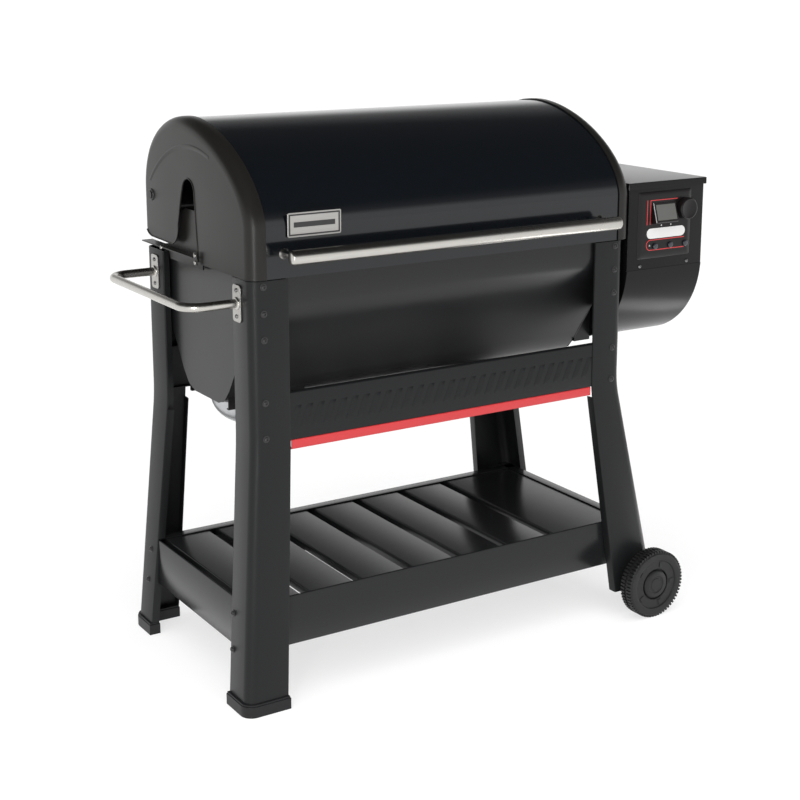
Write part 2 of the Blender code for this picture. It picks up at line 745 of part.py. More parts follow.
def skirt_along_x(name, x0, x1, y_face, depth):
    """Front or rear shelf skirt: an upright strip with a ledge that carries the slats."""
    ledge = SHELF_TOP - SLAT_DEPTH - GAP
    profile = [(y_face, SKIRT_BOTTOM), (y_face, SHELF_TOP)]
    strip = swept_sheet(name, along_x(profile, x0, x1), (0.0, 0.0, 0.2))
    low, high = sorted((y_face - depth * SHEET * 0.5, y_face - depth * 0.018))
    join(strip, box(name + "_ledge", (x0, low, ledge - SHEET), (x1, high, ledge)))
    return strip


def make_shelf():
    reach_left = SHELF_LEFT + SHEET + GAP
    reach_right = SHELF_RIGHT - SHEET - GAP
    keep(skirt_along_x("front_skirt", reach_left, reach_right, SHELF_FRONT, -1), SATIN, 0.42)
    keep(skirt_along_x("rear_skirt", reach_left, reach_right, SHELF_REAR, 1), SATIN, 0.42)
    for name, x_face in (("left_skirt", SHELF_LEFT), ("right_skirt", SHELF_RIGHT)):
        stations = [[(x_face, y, SKIRT_BOTTOM), (x_face, y, SHELF_TOP)] for y in (SHELF_FRONT, SHELF_REAR + 0.02)]
        keep(swept_sheet(name, stations, (0.0, 0.0, 0.2)), SATIN, 0.42)
    front = SHELF_FRONT + SHEET + GAP
    rear = SHELF_REAR - SHEET - GAP
    for i in range(SLAT_COUNT):
        left = SLAT_FIRST_X + SLAT_PITCH * i
        right = left + SLAT_PITCH - SLAT_GAP
        if i == SLAT_COUNT - 1:
            right = reach_right - 0.004
        low = SHELF_TOP - SLAT_DEPTH
        stations = [[(left, y, low), (left, y, SHELF_TOP), (right, y, SHELF_TOP), (right, y, low)]
                    for y in (front, rear)]
        keep(swept_sheet(f"shelf_slat_{i + 1}", stations, (0.0, 0.0, 0.0)), SATIN, 0.35)


# ---------------------------------------------------------------- wheels


def make_wheels():
    axle_length = 2 * (WHEEL_OUTER_Y - 0.008)
    keep(rod("wheel_axle", (WHEEL_X, 0.0, WHEEL_RADIUS), "Y", AXLE_RADIUS, axle_length, 16), DARK_STEEL, 0.4, 1.0)
    width = WHEEL_OUTER_Y - WHEEL_INNER_Y
    bore = AXLE_RADIUS + GAP
    tread = WHEEL_RADIUS
    profile = [(bore, 0.0), (0.020, 0.0), (0.020, 0.006), (0.060, 0.006), (0.064, 0.001), (tread - 0.004, 0.001),
               (tread, 0.005), (tread, width - 0.006), (tread - 0.005, width - 0.0005), (0.062, width),
               (0.058, width - 0.003), (0.036, width - 0.003), (0.036, width - 0.010), (bore, width - 0.010)]
    for depth, name in ((-1, "front"), (1, "rear")):
        hub = pivot(name + "_wheel_spin", (WHEEL_X, depth * WHEEL_INNER_Y, WHEEL_RADIUS))
        wheel = turned(name + "_wheel", profile, (0.0, 0.0, 0.0), -depth)
        keep(wheel, PLASTIC, 0.62, 0.0, hub)
        low = WHEEL_OUTER_Y - 0.0075
        centre = (0.0, depth * (low - WHEEL_INNER_Y + 0.0035), 0.0)
        cap = rod(name + "_hub_cap", centre, "Y", 0.0335, 0.007, 28)
        keep(cap, PLASTIC, 0.5, 0.0, hub)


# ---------------------------------------------------------------- side handle


def make_side_handle():
    plate = 0.003
    base = -LEG_X - GAP
    for depth, name in ((-1, "front"), (1, "rear")):
        y = depth * SIDE_HANDLE_Y
        piece = box(name + "_handle_plate", (base - plate, y - 0.017, SIDE_HANDLE_Z - 0.037),
                    (base, y + 0.017, SIDE_HANDLE_Z + 0.037))
        keep(piece, STEEL, 0.35, 1.0)
    bend = 0.040
    start = base - plate - GAP
    points = [(start, -SIDE_HANDLE_Y)]
    points += list(arc((-SIDE_HANDLE_X + bend, -SIDE_HANDLE_Y + bend), bend, 270, 180, 6))
    points += [(x, -y) for x, y in reversed(points)]
    bar = tube("side_handle", [(x, y, SIDE_HANDLE_Z) for x, y in points], SIDE_HANDLE_RADIUS, 3)
    keep(bar, STEEL, 0.28, 1.0)


# ---------------------------------------------------------------- hopper


def hopper_shell():
    """Upper hopper housing: four upright walls, open at the top and bottom."""
    shell = box("hopper_housing", (HOPPER_LEFT, HOPPER_FRONT, HOPPER_SEAM), (HOPPER_RIGHT, HOPPER_REAR, HOPPER_RIM))
    inner = box("hopper_hollow_cutter", (HOPPER_LEFT + SHEET, HOPPER_FRONT + SHEET, HOPPER_SEAM - 0.01),
                (HOPPER_RIGHT - SHEET, HOPPER_REAR - SHEET, HOPPER_RIM + 0.01))
    cut(shell, inner)
    return keep(shell, SATIN, 0.40)


def cover_outline(inset):
    top = HOPPER_SEAM - GAP
    radius = COVER_ROUND - inset
    centre = (HOPPER_FRONT + COVER_ROUND, HOPPER_SEAM + 0.012)
    yield (HOPPER_FRONT + inset, top)
    yield from arc(centre, radius, 187, 270, 9)
    yield (HOPPER_REAR - inset, centre[1] - radius)
    yield (HOPPER_REAR - inset, top)


def hopper_cover():
    """Lower hopper cover: a tub whose front curves back under, open at the top."""
    cover = prism("hopper_cover", list(cover_outline(0.0)), HOPPER_LEFT, HOPPER_RIGHT, on_side)
    hollow = [(y, z + (0.02 if z > HOPPER_SEAM - 0.001 else 0.0)) for y, z in cover_outline(SHEET)]
    cut(cover, prism("cover_hollow_cutter", hollow, HOPPER_LEFT + SHEET, HOPPER_RIGHT - SHEET, on_side))
    cut(cover, rod("cover_auger_cutter", (HOPPER_LEFT, AUGER_Y, AUGER_Z), "X", AUGER_RADIUS + 0.0045, 0.03, 24))
    return keep(cover, SATIN, 0.32)


def hopper_bin():
    """Inner pellet bin: upright walls, then a funnel down to the auger."""
    top = (HOPPER_LEFT + 0.004, HOPPER_RIGHT - 0.004, HOPPER_FRONT + 0.016, HOPPER_REAR - 0.004)
    low = (0.575, 0.645, AUGER_Y - 0.018, AUGER_Y + 0.018)
    bm = bmesh.new()
    rings = []
    for (x0, x1, y0, y1), z in ((top, HOPPER_RIM - 0.004), (top, 0.845), (low, 0.7045)):
        rings.append([bm.verts.new(point) for point in ((x0, y0, z), (x1, y0, z), (x1, y1, z), (x0, y1, z))])
    for upper, lower in zip(rings, rings[1:]):
        for i in range(4):
            j = (i + 1) % 4
            bm.faces.new((upper[i], upper[j], lower[j], lower[i]))
    bmesh.ops.recalc_face_normals(bm, faces=bm.faces)
    centre = Vector((0.6, -0.06, 0.85))
    if bm.faces[0].normal.dot(centre - bm.faces[0].calc_center_median()) > 0:
        bmesh.ops.reverse_faces(bm, faces=bm.faces)
    mesh = bpy.data.meshes.new("pellet_bin")
    bm.to_mesh(mesh)
    bm.free()
    thing = bpy.data.objects.new("pellet_bin", mesh)
    PARTS.objects.link(thing)
    thicken(thing, 0.0015)
    return keep(thing, GALVANISED, 0.45, 0.8)


def hopper_lid():
    """A lid with a skirt on the front and both sides. It turns about its rear edge."""
    hinge = pivot("hopper_lid_hinge", (0.0, HOPPER_REAR + 0.0075, HOPPER_LID_TOP - 0.004))
    reach = HOPPER_LID_REACH
    low = (HOPPER_LEFT - reach, HOPPER_FRONT - reach, HOPPER_LID_SKIRT)
    high = (HOPPER_RIGHT + reach, HOPPER_REAR + 0.0045, HOPPER_LID_TOP)
    lid = box("hopper_lid", low, high)
    cut(lid, box("hopper_lid_hollow_cutter", (low[0] + SHEET, low[1] + SHEET, low[2] - 0.01),
                 (high[0] - SHEET, high[1] + 0.01, high[2] - SHEET)))
    keep(lid, SATIN, 0.30, 0.0, hinge)
    lid.location = -hinge.location
    for change in lid.modifiers:
        change.object.parent = hinge
        change.object.location = -hinge.location


def auger():
    """A shaft with a screw flight that feeds pellets to the fire pot."""
    turns = 11
    start, end = 0.062, 0.652
    spin = pivot("auger_spin", (0.0, AUGER_Y, AUGER_Z))
    shaft_radius = 0.0065
    shaft = rod("auger", (0.0, 0.0, 0.0), "X", shaft_radius, 0.604, 11)
    shaft.data.transform(Matrix.Translation((0.361, 0.0, 0.0)))
    bm = bmesh.new()
    steps = turns * 12
    previous = None
    for i in range(steps + 1):
        angle = 2 * math.pi * i * turns / steps
        x = start + (end - start) * i / steps
        ring = []
        for radius, shift in ((0.004, -0.0015), (AUGER_RADIUS, -0.001), (AUGER_RADIUS, 0.001), (0.004, 0.0015)):
            ring.append(bm.verts.new((x + shift, radius * math.cos(angle), radius * math.sin(angle))))
        if previous:
            for k in range(4):
                bm.faces.new((previous[k], previous[(k + 1) % 4], ring[(k + 1) % 4], ring[k]))
        else:
            bm.faces.new(ring)
        previous = ring
    bm.faces.new(reversed(previous))
    flight = mesh_object("auger_flight", bm)
    keep(shaft, DARK_STEEL, 0.4, 1.0, spin)
    join(shaft, flight)


def make_drive():
    tube_start, tube_end = 0.0560, 0.6560
    pipe = rod("auger_tube", ((tube_start + tube_end) / 2, AUGER_Y, AUGER_Z), "X", AUGER_RADIUS + 0.004,
               tube_end - tube_start, 24)
    cut(pipe, rod("auger_bore_cutter", ((tube_start + tube_end) / 2, AUGER_Y, AUGER_Z), "X",
                  AUGER_RADIUS + 0.0015, tube_end - tube_start + 0.02, 24))
    cut(pipe, box("auger_mouth_cutter", (0.577, AUGER_Y - 0.016, AUGER_Z + 0.005),
                  (0.643, AUGER_Y + 0.016, AUGER_Z + 0.05)))
    keep(pipe, DARK_STEEL, 0.5, 0.8)
    auger()
    motor = box("auger_motor", (0.6640, AUGER_Y - 0.034, AUGER_Z - 0.028), (0.7090, AUGER_Y + 0.034, AUGER_Z + 0.028))
    keep(motor, DARK_STEEL, 0.5, 0.6)
    fan = pivot("fan_spin", (0.600, 0.075, 0.690))
    wheel = rod("fan_wheel", (0.0, 0.0, 0.0), "Y", 0.012, 0.024, 16)
    keep(wheel, PLASTIC, 0.5, 0.0, fan)
    for i in range(6):
        blade = box(f"fan_blade_{i + 1}", (0.008, -0.010, -0.001), (0.036, 0.010, 0.001))
        join(wheel, blade)
        blade.rotation_euler = (0.0, math.radians(60 * i), 0.0)
    inlet = box("power_inlet", (0.585, HOPPER_REAR + GAP, 0.690), (0.625, HOPPER_REAR + 0.012, 0.722))
    cut(inlet, box("inlet_cutter", (0.592, HOPPER_REAR + 0.004, 0.696), (0.618, HOPPER_REAR + 0.03, 0.716)))
    keep(inlet, PLASTIC, 0.5)


def frustum(name, low, high, shrink):
    """A block that narrows towards -Y: its front face is smaller than its back by shrink all round."""
    block = box(name, low, high)
    middle_x, middle_z = (low[0] + high[0]) / 2, (low[2] + high[2]) / 2
    for vert in block.data.vertices:
        if vert.co.y < (low[1] + high[1]) / 2:
            vert.co.x += shrink if vert.co.x < middle_x else -shrink
            vert.co.z += shrink if vert.co.z < middle_z else -shrink
    return block


def make_controls():
    """The control panel on the hopper's front: bezel, display, knob and three buttons."""
    back = HOPPER_FRONT - GAP
    face = back - 0.003
    bezel = frustum("control_bezel", (0.5160, face, 0.8310), (0.6740, back, 0.9830), 0.0115)
    for i in range(3):
        pocket = rod(f"button_pocket_{i + 1}", (BUTTON_X + BUTTON_PITCH * i, face - 0.0025, BUTTON_Z), "Y", 0.0078,
                     0.0100, 20)
        cut(bezel, pocket)
    keep(bezel, PLASTIC, 0.45)
    seat = face - GAP
    outline = [(seat, 0.9100), (seat, 0.9570), (seat - 0.0015, 0.9570), (seat - 0.0150, 0.9110), (seat - 0.0145, 0.9100)]
    display = prism("display", outline, 0.5560, 0.6235, on_side)
    keep(display, SCREEN, 0.15)
    knob_spin = pivot("knob_spin", (0.6520, seat, 0.9395))
    profile = [(0.0, 0.0), (0.010, 0.0), (0.010, 0.002), (0.0238, 0.002), (0.0250, 0.004), (0.0244, 0.0158),
               (0.0228, 0.0175), (0.0, 0.0175)]
    keep(turned("knob", profile, (0.0, 0.0, 0.0), 1, 32), PLASTIC, 0.35, 0.0, knob_spin)
    for i in range(3):
        place = pivot(f"button_{i + 1}_press", (BUTTON_X + BUTTON_PITCH * i, seat, BUTTON_Z))
        button = rod(f"button_{i + 1}", (0.0, -0.0023, 0.0), "Y", 0.0072, 0.0046, 20)
        keep(button, PLASTIC, 0.4, 0.0, place)


def make_hopper():
    hopper_shell()
    hopper_cover()
    hopper_bin()
    hopper_lid()
    make_drive()
    make_controls()


make_lid()
make_cook_box()
for hinge_name, hinge_side in (("left_hinge_bracket", -1), ("right_hinge_bracket", 1)):
    keep(hinge_plate(hinge_name, hinge_side), SATIN, 0.42)
make_inside()
make_grease_bowl()
make_legs()
make_panels()
make_shelf()
make_wheels()
make_side_handle()
make_hopper()
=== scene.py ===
"""Looks of the pellet smoker grill: smooth shells, louvres, tread, controls and fasteners on the CAD frame."""
import math

import bmesh
import bpy
from mathutils import Matrix, Vector


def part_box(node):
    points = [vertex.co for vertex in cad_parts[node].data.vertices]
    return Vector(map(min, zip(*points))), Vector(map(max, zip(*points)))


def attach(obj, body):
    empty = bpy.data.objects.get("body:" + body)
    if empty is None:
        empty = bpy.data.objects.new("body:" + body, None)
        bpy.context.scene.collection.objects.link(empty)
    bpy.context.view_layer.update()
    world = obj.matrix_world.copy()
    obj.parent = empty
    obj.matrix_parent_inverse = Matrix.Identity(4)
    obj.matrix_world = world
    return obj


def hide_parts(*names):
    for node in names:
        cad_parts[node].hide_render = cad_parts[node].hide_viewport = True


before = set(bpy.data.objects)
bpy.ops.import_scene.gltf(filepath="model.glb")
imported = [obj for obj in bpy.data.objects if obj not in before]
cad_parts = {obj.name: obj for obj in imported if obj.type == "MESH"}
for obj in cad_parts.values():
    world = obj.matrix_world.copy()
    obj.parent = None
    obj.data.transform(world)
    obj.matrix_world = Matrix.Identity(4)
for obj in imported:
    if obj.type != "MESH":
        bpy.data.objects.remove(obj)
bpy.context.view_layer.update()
scene = bpy.context.scene

MM = 0.001
SHEET = 2 * MM


def node_box(name):
    low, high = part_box(name)
    return Vector(low), Vector(high)


SKIN_LOW, SKIN_HIGH = node_box("lid_skin")
BOX_LOW, BOX_HIGH = node_box("cook_box")
MID = (BOX_LOW.x + BOX_HIGH.x) / 2           # the middle of the cook box, which most things are symmetric about


def at(x, y, z):
    """A point given from the middle of the lid, at floor level."""
    return Vector((MID + x, y, z))


# ---------------------------------------------------------------- camera, light, floor

CAMERA_PLACE = (-1.7474, -2.8241, 1.450)
CAMERA_YAW = 32.234
CAMERA_PITCH = 12.532
CAMERA_LENS = 68.79
CAMERA_SHIFT = -0.1016


def make_camera():
    data = bpy.data.cameras.new("camera")
    data.sensor_width = 36.0
    data.lens = CAMERA_LENS
    data.shift_y = CAMERA_SHIFT
    camera = bpy.data.objects.new("camera", data)
    camera.location = at(*CAMERA_PLACE)
    camera.rotation_euler = (math.radians(90 - CAMERA_PITCH), 0.0, math.radians(-CAMERA_YAW))
    scene.collection.objects.link(camera)
    scene.camera = camera


def area_light(name, place, target, size, power, glossy=True):
    data = bpy.data.lights.new(name, "AREA")
    data.shape = "RECTANGLE"
    data.size, data.size_y = size
    data.energy = power
    light = bpy.data.objects.new(name, data)
    light.location = place
    light.rotation_euler = (Vector(target) - Vector(place)).to_track_quat("-Z", "Y").to_euler()
    light.visible_glossy = glossy
    light.visible_camera = False
    scene.collection.objects.link(light)


def make_world():
    """A white band round the horizon under a dark ceiling."""
    world = bpy.data.worlds.new("studio")
    world.use_nodes = True
    tree = world.node_tree
    place = tree.nodes.new("ShaderNodeTexCoord")
    split = tree.nodes.new("ShaderNodeSeparateXYZ")
    ramp = tree.nodes.new("ShaderNodeValToRGB")
    tree.links.new(place.outputs["Generated"], split.inputs["Vector"])
    tree.links.new(split.outputs["Z"], ramp.inputs["Fac"])
    stops = ((0.0, 1.0), (0.26, 1.0), (0.40, 0.22), (0.60, 0.035), (1.0, 0.02))
    ramp.color_ramp.elements[0].position, ramp.color_ramp.elements[1].position = 0.0, 1.0
    for height, light in stops[1:-1]:
        ramp.color_ramp.elements.new(height)
    for element, (height, light) in zip(ramp.color_ramp.elements, stops):
        element.position = height
        element.color = (light, light, light, 1.0)
    tree.links.new(ramp.outputs["Color"], tree.nodes["Background"].inputs["Color"])
    scene.world = world


def make_light():
    make_world()
    sky = bpy.data.lights.new("sky_panel", "SUN")
    sky.energy = 3.2
    sky.angle = math.radians(75)
    light = bpy.data.objects.new("sky_panel", sky)
    light.rotation_euler = Vector((0.25, 0.35, -1.0)).to_track_quat("-Z", "Y").to_euler()
    light.visible_glossy = False
    scene.collection.objects.link(light)
    area_light("left_strip", at(-2.35, -2.45, 1.05), at(-0.45, -0.25, 0.9), (0.30, 1.9), 26)
    area_light("low_card", at(1.10, -0.42, 0.02), at(0.75, -0.2, 0.9), (0.7, 0.22), 1.4)
    area_light("front_softbox", at(0.6, -4.0, 1.9), at(0.0, 0.0, 0.7), (2.6, 1.8), 30, glossy=False)
    scene.view_settings.view_transform = "Standard"
    scene.view_settings.look = "None"


def make_floor():
    bm = bmesh.new()
    bmesh.ops.create_grid(bm, x_segments=1, y_segments=1, size=150.0)
    floor = mesh_object("floor", bm)
    paint = bpy.data.materials.new("floor_paint")
    paint.use_nodes = True
    shader = paint.node_tree.nodes["Principled BSDF"]
    shader.inputs["Base Color"].default_value = (0.34, 0.34, 0.34, 1.0)
    shader.inputs["Roughness"].default_value = 1.0
    shader.inputs["Specular IOR Level"].default_value = 0.0
    shader.inputs["Emission Color"].default_value = (1.0, 1.0, 1.0, 1.0)
    shader.inputs["Emission Strength"].default_value = 0.68
    floor.data.materials.append(paint)


# ---------------------------------------------------------------- materials


def surface(name, colour, roughness, metallic=0.0, coat=0.0, grain=900.0, grain_depth=0.05, patch=0.06,
            spread=0.10, stretch=None, specular=0.5):
    """A procedural finish: fine grain in the bump and in the colour, broad patches in the roughness."""
    paint = bpy.data.materials.new(name)
    paint.use_nodes = True
    tree = paint.node_tree
    shader = tree.nodes["Principled BSDF"]
    shader.inputs["Metallic"].default_value = metallic
    shader.inputs["Coat Weight"].default_value = coat
    shader.inputs["Coat Roughness"].default_value = 0.04
    shader.inputs["Specular IOR Level"].default_value = specular
    place = tree.nodes.new("ShaderNodeTexCoord")
    scale = tree.nodes.new("ShaderNodeMapping")
    scale.inputs["Scale"].default_value = stretch or (1.0, 1.0, 1.0)
    tree.links.new(place.outputs["Object"], scale.inputs["Vector"])

    fine = tree.nodes.new("ShaderNodeTexNoise")
    fine.inputs["Scale"].default_value = grain
    fine.inputs["Detail"].default_value = 2.0
    tree.links.new(scale.outputs["Vector"], fine.inputs["Vector"])
    bump = tree.nodes.new("ShaderNodeBump")
    bump.inputs["Strength"].default_value = grain_depth
    bump.inputs["Distance"].default_value = 0.0005
    tree.links.new(fine.outputs["Fac"], bump.inputs["Height"])
    tree.links.new(bump.outputs["Normal"], shader.inputs["Normal"])

    broad = tree.nodes.new("ShaderNodeTexNoise")
    broad.inputs["Scale"].default_value = 5.0
    broad.inputs["Detail"].default_value = 3.0
    tree.links.new(place.outputs["Object"], broad.inputs["Vector"])
    rough = tree.nodes.new("ShaderNodeMapRange")
    rough.inputs["To Min"].default_value = max(roughness - patch, 0.02)
    rough.inputs["To Max"].default_value = roughness + patch
    tree.links.new(broad.outputs["Fac"], rough.inputs["Value"])
    tree.links.new(rough.outputs["Result"], shader.inputs["Roughness"])
    ramp = tree.nodes.new("ShaderNodeValToRGB")
    ramp.color_ramp.elements[0].color = (*[c * (1 - spread) for c in colour], 1.0)
    ramp.color_ramp.elements[1].color = (*[min(c * (1 + spread), 1.0) for c in colour], 1.0)
    tree.links.new(fine.outputs["Fac"], ramp.inputs["Fac"])
    tree.links.new(ramp.outputs["Color"], shader.inputs["Base Color"])
    return paint


ENAMEL = surface("lid_enamel", (0.0035, 0.0045, 0.0060), 0.16, coat=0.5, grain=60.0, grain_depth=0.02, patch=0.03,
                 specular=0.30)
CAP = surface("cap_black", (0.0090, 0.0085, 0.0075), 0.34, grain=1400.0, grain_depth=0.10, specular=0.30)
POWDER = surface("powder_black", (0.0085, 0.0090, 0.0095), 0.36, grain=1500.0, grain_depth=0.14, specular=0.24)
SHELF = surface("shelf_black", (0.0100, 0.0105, 0.0110), 0.20, grain=1500.0, grain_depth=0.06, patch=0.04,
                specular=0.30)
BODY = surface("body_black", (0.0080, 0.0083, 0.0090), 0.30, grain=1200.0, grain_depth=0.08, specular=0.38)
HOPPER = surface("hopper_black", (0.0055, 0.0055, 0.0058), 0.24, grain=1500.0, grain_depth=0.06, patch=0.04,
                 specular=0.20)
RED = surface("accent_red", (0.50, 0.030, 0.034), 0.40, grain=1200.0, grain_depth=0.06, spread=0.05)
STEEL = surface("stainless", (0.56, 0.545, 0.51), 0.27, metallic=1.0, grain=420.0, grain_depth=0.08,
                stretch=(0.06, 1.0, 1.0))
BRUSHED = surface("brushed_plate", (0.46, 0.45, 0.43), 0.36, metallic=1.0, grain=700.0, grain_depth=0.10,
                  stretch=(0.04, 1.0, 1.0))
BOLT = surface("bolt_zinc", (0.22, 0.22, 0.22), 0.34, metallic=1.0, grain=1500.0)
DARK_BOLT = surface("bolt_black", (0.035, 0.035, 0.036), 0.34, metallic=0.4, grain=1500.0)
GRATE = surface("grate_enamel", (0.018, 0.018, 0.018), 0.30, coat=0.3, grain=700.0, grain_depth=0.20)
RAW = surface("heat_steel", (0.20, 0.19, 0.18), 0.45, metallic=1.0, grain=250.0, grain_depth=0.15, spread=0.30)
ZINC = surface("galvanised", (0.50, 0.51, 0.52), 0.36, metallic=0.9, grain=90.0, grain_depth=0.06, spread=0.18)
PLASTIC = surface("moulded_plastic", (0.012, 0.012, 0.013), 0.42, grain=2200.0, grain_depth=0.16, specular=0.25)
WHEEL = surface("wheel_plastic", (0.012, 0.012, 0.0125), 0.48, grain=1800.0, grain_depth=0.20, specular=0.30)
PANEL = surface("control_plastic", (0.0065, 0.0055, 0.0055), 0.30, grain=2200.0, grain_depth=0.10, specular=0.28)
SCREEN = surface("screen_gloss", (0.075, 0.077, 0.070), 0.14, coat=0.4, grain=20.0, grain_depth=0.0, patch=0.02)
BUTTON = surface("button_gloss", (0.012, 0.014, 0.020), 0.12, coat=0.6, grain=900.0, grain_depth=0.02, patch=0.02)
# Light grey: the control lamp's own colour, and a painted highlight along the display's left edge.
LAMP_GREY_AND_EDGE_HIGHLIGHT = surface("lamp_grey_and_screen_highlight", (0.35, 0.35, 0.36), 0.30, grain=1500.0)
WHITE = surface("label_white", (0.62, 0.62, 0.61), 0.40, grain=1500.0, grain_depth=0.03, spread=0.03)
# Near-black for the louvre slits: painted shadow in the openings.
PAINTED_SHADOW = surface("shadow_gap", (0.002, 0.002, 0.002), 0.7, grain=800.0, specular=0.1)
MOTOR = surface("motor_paint", (0.04, 0.04, 0.042), 0.45, grain=900.0, grain_depth=0.15)
# Light grey for the hopper lid's top face only, with the skirt in black: a painted reflection of the bright backdrop on
# the black lid at a grazing angle.
HOPPER_TOP_REFLECTION = surface("hopper_lid_grey", (0.24, 0.24, 0.24), 0.33, grain=1300.0, grain_depth=0.06, spread=0.04)


# ---------------------------------------------------------------- mesh helpers


BEVEL_FROM = 40


def mesh_object(name, bm):
    mesh = bpy.data.meshes.new(name)
    bm.to_mesh(mesh)
    bm.free()
    thing = bpy.data.objects.new(name, mesh)
    scene.collection.objects.link(thing)
    return thing


def mark_sharp(piece, degrees):
    piece.data.set_sharp_from_angle(angle=math.radians(degrees))


def finish_piece(name, bm, material, body, slot, smooth=38, bevel=0.0, thickness=0.0, segments=2, replaces=()):
    """Makes an object of a mesh, with its finish, sheet thickness, rounded edges and body. The slot argument is not
    used.
    """
    piece = mesh_object(name, bm)
    piece.data.shade_smooth()
    mark_sharp(piece, smooth)
    for paint in material if isinstance(material, list) else [material]:
        piece.data.materials.append(paint)
    if thickness:
        solid = piece.modifiers.new("thickness", "SOLIDIFY")
        solid.thickness = thickness
        solid.offset = -1.0
        solid.use_even_offset = True
        apply_all(piece)
        mark_sharp(piece, smooth)
    if bevel:
        edge = piece.modifiers.new("edges", "BEVEL")
        edge.width = bevel
        edge.segments = segments
        edge.limit_method = "ANGLE"
        edge.angle_limit = math.radians(BEVEL_FROM)
        edge.harden_normals = True
    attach(piece, body)
    if replaces:
        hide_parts(*replaces)
    return piece


def finish_solid(name, bm, *finish, **details):
    """finish_piece for closed forms, whose faces are first turned outward."""
    bmesh.ops.recalc_face_normals(bm, faces=bm.faces)
    return finish_piece(name, bm, *finish, **details)


def loft(bm, rows, closed=False, material=0):
    """Quads between rows of points. closed joins each row's end to its start."""
    grid = [[bm.verts.new(point) for point in row] for row in rows]
    for near, far in zip(grid, grid[1:]):
        count = len(near)
        for i in range(count if closed else count - 1):
            j = (i + 1) % count
            face = bm.faces.new((near[i], near[j], far[j], far[i]))
            face.material_index = material
    return grid


def face_away(bm, inside):
    """Turns an open surface so that most of its area faces away from a point."""
    bmesh.ops.recalc_face_normals(bm, faces=bm.faces)
    bm.normal_update()
    away = sum(f.calc_area() * f.normal.dot(f.calc_center_median() - Vector(inside)) for f in bm.faces)
    if away < 0:
        bmesh.ops.reverse_faces(bm, faces=bm.faces)


def block(bm, low, high, material=0):
    low, high = Vector(low), Vector(high)
    middle, size = (low + high) / 2, high - low
    made = bmesh.ops.create_cube(bm, size=1.0, matrix=Matrix.Translation(middle) @ Matrix.Diagonal((*size, 1.0)))
    for face in {f for v in made["verts"] for f in v.link_faces}:
        face.material_index = material
    return made["verts"]


def facing(place, direction):
    """A frame at a point, whose Z looks along a direction."""
    return Matrix.Translation(place) @ Vector(direction).to_track_quat("Z", "Y").to_matrix().to_4x4()


def lathe(bm, profile, matrix, steps=32, material=0):
    """A closed (radius, height) line turned about Z. A radius of zero makes a pole."""
    rings = []
    for radius, height in profile:
        if radius < 1e-7:
            rings.append([bm.verts.new(matrix @ Vector((0.0, 0.0, height)))])
            continue
        rings.append([bm.verts.new(matrix @ Vector((radius * math.cos(2 * math.pi * i / steps),
                                                    radius * math.sin(2 * math.pi * i / steps), height)))
                      for i in range(steps)])
    for near, far in zip(rings, rings[1:]):
        for i in range(steps):
            j = (i + 1) % steps
            corners = [near[i % len(near)], near[j % len(near)], far[j % len(far)], far[i % len(far)]]
            unique = [v for k, v in enumerate(corners) if v not in corners[:k]]
            if len(unique) > 2:
                bm.faces.new(unique).material_index = material


def arc(centre, radius, start, end, steps):
    for i in range(steps + 1):
        angle = math.radians(start + (end - start) * i / steps)
        yield (centre[0] + radius * math.cos(angle), centre[1] + radius * math.sin(angle))


def outline_prism(bm, outline, low, high, place, material=0):
    """A closed outline pushed from low to high, with both ends."""
    near = [bm.verts.new(place(a, b, low)) for a, b in outline]
    far = [bm.verts.new(place(a, b, high)) for a, b in outline]
    count = len(near)
    faces = [bm.faces.new(near), bm.faces.new(list(reversed(far)))]
    for i in range(count):
        j = (i + 1) % count
        faces.append(bm.faces.new((near[j], near[i], far[i], far[j])))
    for face in faces:
        face.material_index = material


def rounded(x0, x1, z0, z1, radius, steps=6):
    """A rectangle's outline with rounded corners."""
    for cx, cz, start in ((x1 - radius, z1 - radius, 0), (x0 + radius, z1 - radius, 90),
                          (x0 + radius, z0 + radius, 180), (x1 - radius, z0 + radius, 270)):
        yield from arc((cx, cz), radius, start, start + 90, steps)


def tube_along(bm, points, radius, sides=24, material=0):
    """A round bar along a smooth path, with closed ends."""
    points = [Vector(p) for p in points]
    rows = []
    side = None
    for i, point in enumerate(points):
        ahead = points[min(i + 1, len(points) - 1)] - points[max(i - 1, 0)]
        ahead.normalize()
        if side is None:
            side = ahead.orthogonal().normalized()
        side = (side - ahead * side.dot(ahead)).normalized()
        up = ahead.cross(side)
        rows.append([point + radius * (side * math.cos(2 * math.pi * k / sides)
                                       + up * math.sin(2 * math.pi * k / sides)) for k in range(sides)])
    grid = loft(bm, rows, closed=True, material=material)
    bm.faces.new(list(reversed(grid[0])))
    bm.faces.new(grid[-1])


def paint_node(name, material):
    """Gives a CAD node its finish. Its shape is already right."""
    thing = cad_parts[name]
    thing.data.materials.clear()
    thing.data.materials.append(material)


# ---------------------------------------------------------------- fasteners

FLANGE_BOLT = [(0.0, 0.0), (7.2 * MM, 0.0), (7.2 * MM, 0.9 * MM), (5.2 * MM, 1.5 * MM), (5.0 * MM, 3.4 * MM),
               (3.6 * MM, 4.6 * MM), (2.2 * MM, 4.8 * MM), (2.0 * MM, 3.0 * MM), (0.0, 3.0 * MM)]
PAN_SCREW = [(0.0, 0.0), (4.4 * MM, 0.0), (4.3 * MM, 1.0 * MM), (3.3 * MM, 2.2 * MM), (1.4 * MM, 2.7 * MM),
             (1.1 * MM, 1.6 * MM), (0.0, 1.6 * MM)]


def fasteners(name, profile, places, direction, material, body, slot, steps=16):
    bm = bmesh.new()
    for place in places:
        lathe(bm, profile, facing(place, direction), steps)
    return finish_solid(name, bm, material, body, slot, smooth=50)


# ---------------------------------------------------------------- lid

